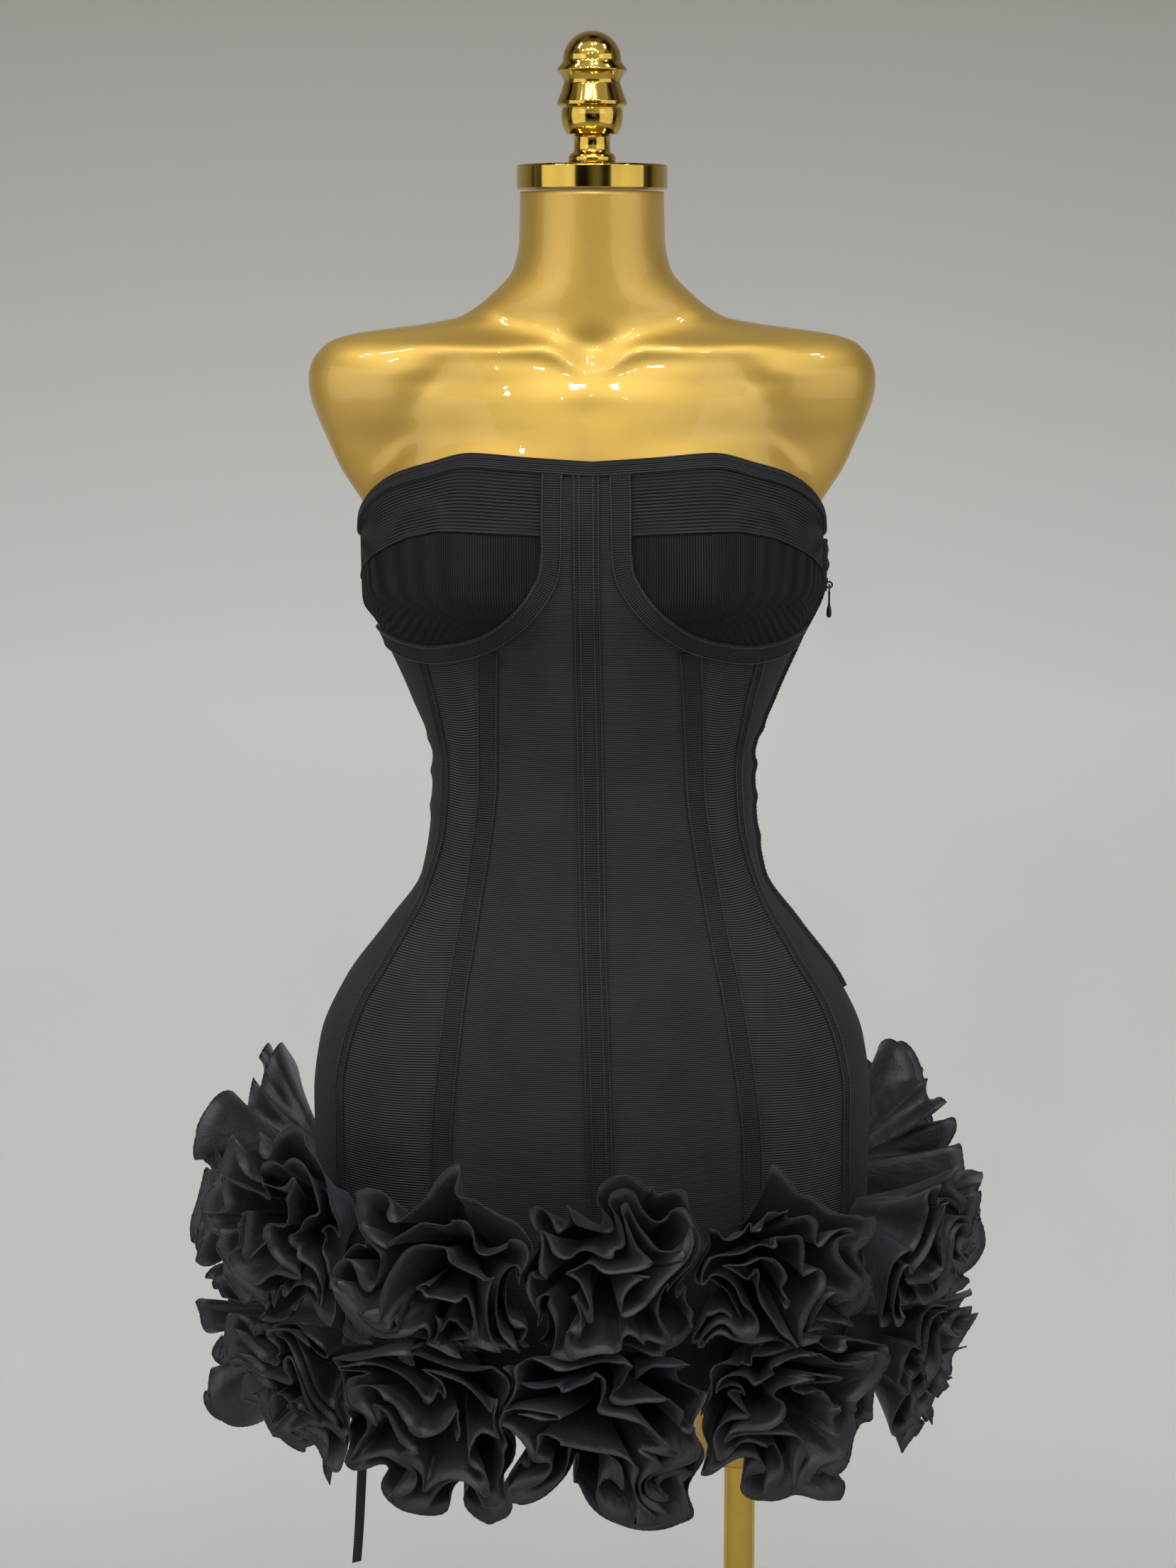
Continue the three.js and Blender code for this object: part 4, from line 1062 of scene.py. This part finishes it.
# Where each rosette's cloth is twisted into loops: centres, sizes and turns in a disc of radius 1
def foldPlan(random):
    centres = []
    while len(centres) < rosette["swirls"]:
        spot = random.uniform(-1, 1, 2)
        clear = all(np.hypot(*(spot - c)) > rosette["swirlGap"] for c in centres)
        if np.hypot(*spot) < rosette["swirlReach"] and clear:
            centres.append(spot)
    turns = random.uniform(1.3, 2.5, len(centres)) * random.choice([-1, 1], len(centres))
    return {
        "centres": centres,
        "sizes": random.uniform(0.17, 0.32, len(centres)),
        "turns": turns,
        "corners": (int(random.choice([4, 5, 6])), random.uniform(0, tau)),
        "folds": [
            (n, random.uniform(0.5, 1) * depth, random.uniform(0, tau))
            for n, depth in ((3, 0.05), (9.4, 0.045))
        ],
        "pleats": random.uniform(0, tau),
        "lifts": [(random.uniform(-5.5, 5.5, 2), random.uniform(0, tau)) for _ in range(3)],
    }


# The strip is coiled, then the coil is twisted round many centres at once. Twisting a disc never
# makes it cross itself, so the layers of cloth fold into loops and stay clear of each other.
def rosetteSurface(spot, plan):
    def place(s, h):
        turn = spot["spin"] + tau * rosette["turns"] * s
        foot = rosette["core"] + (rosette["base"] - rosette["core"]) * s
        rim = rosette["rimCore"] + (spot["edge"] - rosette["rimCore"]) * s ** rosette["spread"]
        run = rim - foot
        rise = np.sqrt(spot["strip"] ** 2 - run**2) * h
        opened = h ** rosette["opening"]
        widest = rosette["base"] + (spot["edge"] - rosette["base"]) * opened
        share = (foot + run * opened) / widest
        corners, phase = plan["corners"]
        share = share * (1 + rosette["corner"] * h * cornerWave(corners * turn + phase))
        for n, depth, phase in plan["folds"]:
            share = share * (1 + depth * h * foldWave(n * turn + phase))
        flat = np.stack([share * np.cos(turn), share * np.sin(turn)], -1)
        for centre, size, angle in zip(plan["centres"], plan["sizes"], plan["turns"]):
            away = flat - centre
            swing = angle * h**1.1 * np.exp(-np.sum(away**2, axis=1) / size**2)
            cosine, sine = np.cos(swing), np.sin(swing)
            swungX = away[:, 0] * cosine - away[:, 1] * sine
            swungY = away[:, 0] * sine + away[:, 1] * cosine
            flat = centre + np.stack([swungX, swungY], -1)
        rise = rise + rosette["pleat"] * h**2 * cornerWave(8 * turn + plan["pleats"])
        for wave, phase in plan["lifts"]:
            rise = rise + rosette["lift"] * h**2 * np.sin(flat @ wave + phase)
        flat = flat * widest[:, None]
        flat[:, 1] -= spot["sag"] * h**2 * smooth(-flat[:, 1] / spot["edge"], -0.5, 1)
        droop = spot["droop"]
        bendRadius = rosette["bend"] / droop
        bent = droop * np.minimum(rise / rosette["bend"], 1)
        straight = np.maximum(rise - rosette["bend"], 0)
        forward = bendRadius * np.sin(bent) + straight * math.cos(droop)
        fall = bendRadius * (1 - np.cos(bent)) + straight * math.sin(droop)
        return (
            spot["foot"]
            + spot["level"] * flat[:, :1] * spot["wide"]
            + spot["normal"] * (forward + flat[:, 1] * np.sin(bent))[:, None]
            + spot["up"] * (flat[:, 1] * np.cos(bent) - fall)[:, None]
        )

    return place


def makeRow(rowName, spots, isUpper):
    arc, angles = skirtAngles(spots[0][1])
    seats = [seat(s, arc, angles, rowSizes[rowName]) for s in spots]
    for i, spot in enumerate(seats):
        neighbours = [seats[(i + 1) % len(seats)], seats[i - 1]]
        surface = rosetteSurface(spot, foldPlan(random))
        fine = np.linspace(0, 1, 1600)
        along = np.linalg.norm(np.diff(surface(fine, np.ones_like(fine)), axis=0), axis=1)
        even = np.concatenate([[0], np.cumsum(along + 0.1)])

        def place(u, h, surface=surface, spot=spot, neighbours=neighbours, even=even):
            s = np.interp(u * even[-1], even, fine)
            return pressed(surface(s, h), spot, neighbours, isUpper)

        bm = bmesh.new()
        drape(bm, rosette["columns"], rosette["rows"], place, strip=spot["strip"])
        name = f"{rowName}_{i + 1:02d}"
        piece = newPiece("petals." + name, bm, petals[rowName])
        standFor(thicken(piece, rosette["wall"], 0), name)
        width, length = even[-1] * mm, spot["strip"] * mm
        cut = (width, length, width * length * rosette["cut"])
        asSheet(piece, cut)
        edge = np.linspace(0, 1, 900)
        bm = bmesh.new()
        beadLine(bm, place(edge, np.ones_like(edge)), 0.55, 4.8, 0.3, 3)
        newPiece("edging." + name, bm, thread)


makeRow("rosette_upper", upperRow, True)
makeRow("rosette_lower", lowerRow, False)
print("rosettes made")

# Stage: pale floor and wall, and soft light

stage = {
    "wallY": 900,
    "wallTop": 4200,
    "reach": 6000,
    "floor": "#cfcdc8",
    # The wall's tones by height in metres are painted shade: darker at the top and a little darker at
    # the foot
    "wall": [(0.1, "#a9a8a7"), (0.95, "#bfc0be"), (1.75, "#86827c")],
}


def stagePlane(name, corners, colour):
    bm = bmesh.new()
    bm.faces.new([bm.verts.new(Vector(c) * mm) for c in corners])
    paint = {"Roughness": 0.9, "Base Color": linear(colour[0][1])}
    material, tree, shader = startMaterial(name, paint)
    if len(colour) > 1:
        # Painted shade: the wall's colour is lightest at the middle and darkens towards the top and a
        # little towards the floor, where less light falls
        at = addNode(tree, "TexCoord").outputs["Object"]
        height = addNode(tree, "SeparateXYZ", {"Vector": at}).outputs["Z"]
        share = addNode(tree, "MapRange", {"Value": height, "From Max": 2.0}).outputs["Result"]
        tones = addNode(tree, "ValToRGB", {"Fac": share}, [(z / 2, tone) for z, tone in colour])
        plug(shader, {"Base Color": tones.outputs["Color"]})
        # The wall is clear from behind, so that a view from the back shows the dress
        behind = addNode(tree, "NewGeometry").outputs["Backfacing"]
        clear = addNode(tree, "BsdfTransparent").outputs["BSDF"]
        sides = addNode(tree, "MixShader", {0: behind, 1: shader.outputs["BSDF"], 2: clear})
        plug(tree.nodes["Material Output"], {"Surface": sides.outputs["Shader"]})
    mesh = bpy.data.meshes.new(name)
    bm.to_mesh(mesh)
    bm.free()
    mesh.materials.append(material)
    piece = bpy.data.objects.new(name, mesh)
    bpy.context.scene.collection.objects.link(piece)


far, back, high = stage["reach"], stage["wallY"], stage["wallTop"]
floorCorners = [(-far, -far, 0), (far, -far, 0), (far, far, 0), (-far, far, 0)]
stagePlane("floor", floorCorners, [(0, stage["floor"])])
wallCorners = [(-far, back, 0), (far, back, 0), (far, back, high), (-far, back, high)]
stagePlane("wall", wallCorners, stage["wall"])

# name: place, aim, size across and up, watts
lights = {
    "ceilingSoft": [(0, -1500, 3000), (0, 0, 1050), (4.4, 2.4), 18],
    "frontLeft": [(-2600, -1900, 1300), (0, 0, 1100), (3.4, 3.0), 40],
    "frontRight": [(2700, -1800, 1300), (0, 0, 1100), (3.4, 3.0), 36],
    "floorWash": [(0, -2300, 1900), (0, -2300, 0), (5.0, 1.6), 14],
    "wallLow": [(0, 420, 60), (0, 900, 330), (3.4, 0.3), 8],
}
# Rows of small ceiling lamps, which the gloss coat shows as sharp spots
lampPlaces = [(-1250, -500), (-1000, -320), (-820, -260), (-1150, -1300), (-620, -1350), (-380, -1450)]
lampPlaces += [(-110, -1350), (190, -1400), (420, -1550), (860, -1900), (-700, -2500), (60, -2400)]
lampPlaces += [(1000, -320), (1250, -520), (0, -620), (250, -560)]
for k, (across, ahead) in enumerate(lampPlaces):
    lights[f"lamp{k}"] = [(across, ahead, 2750), (0, 0, 1280), (0.08, 0.08), 2.2]
for name, (at, aim, size, watts) in lights.items():
    lampData = bpy.data.lights.new(name, "AREA")
    lampData.shape = "RECTANGLE"
    lampData.size, lampData.size_y = size
    lampData.energy = watts
    lamp = bpy.data.objects.new(name, lampData)
    lamp.location = Vector(at) * mm
    direction = (Vector(aim) - Vector(at)).normalized()
    lamp.rotation_euler = direction.to_track_quat("-Z", "Y").to_euler()
    bpy.context.scene.collection.objects.link(lamp)

world = bpy.data.worlds.new("room")
bpy.context.scene.world = world
world.use_nodes = True
worldTree = world.node_tree
background = worldTree.nodes["Background"]
# The shop around it: pale walls with darker openings and fittings, as the polished metal sees it
around = addNode(worldTree, "TexCoord").outputs["Generated"]
patchy = {"Vector": around, "Scale": 2.1, "Detail": 2.0, "Roughness": 0.4}
patches = addNode(worldTree, "TexNoise", patchy)
roomTones = [(0.42, "#1d1b18"), (0.58, "#efede8")]
room = addNode(worldTree, "ValToRGB", {"Fac": patches.outputs["Fac"]}, roomTones)
plug(background, {"Color": room.outputs["Color"], "Strength": 0.22})
bpy.context.scene.view_settings.view_transform = "Standard"
print("stage and lights made")
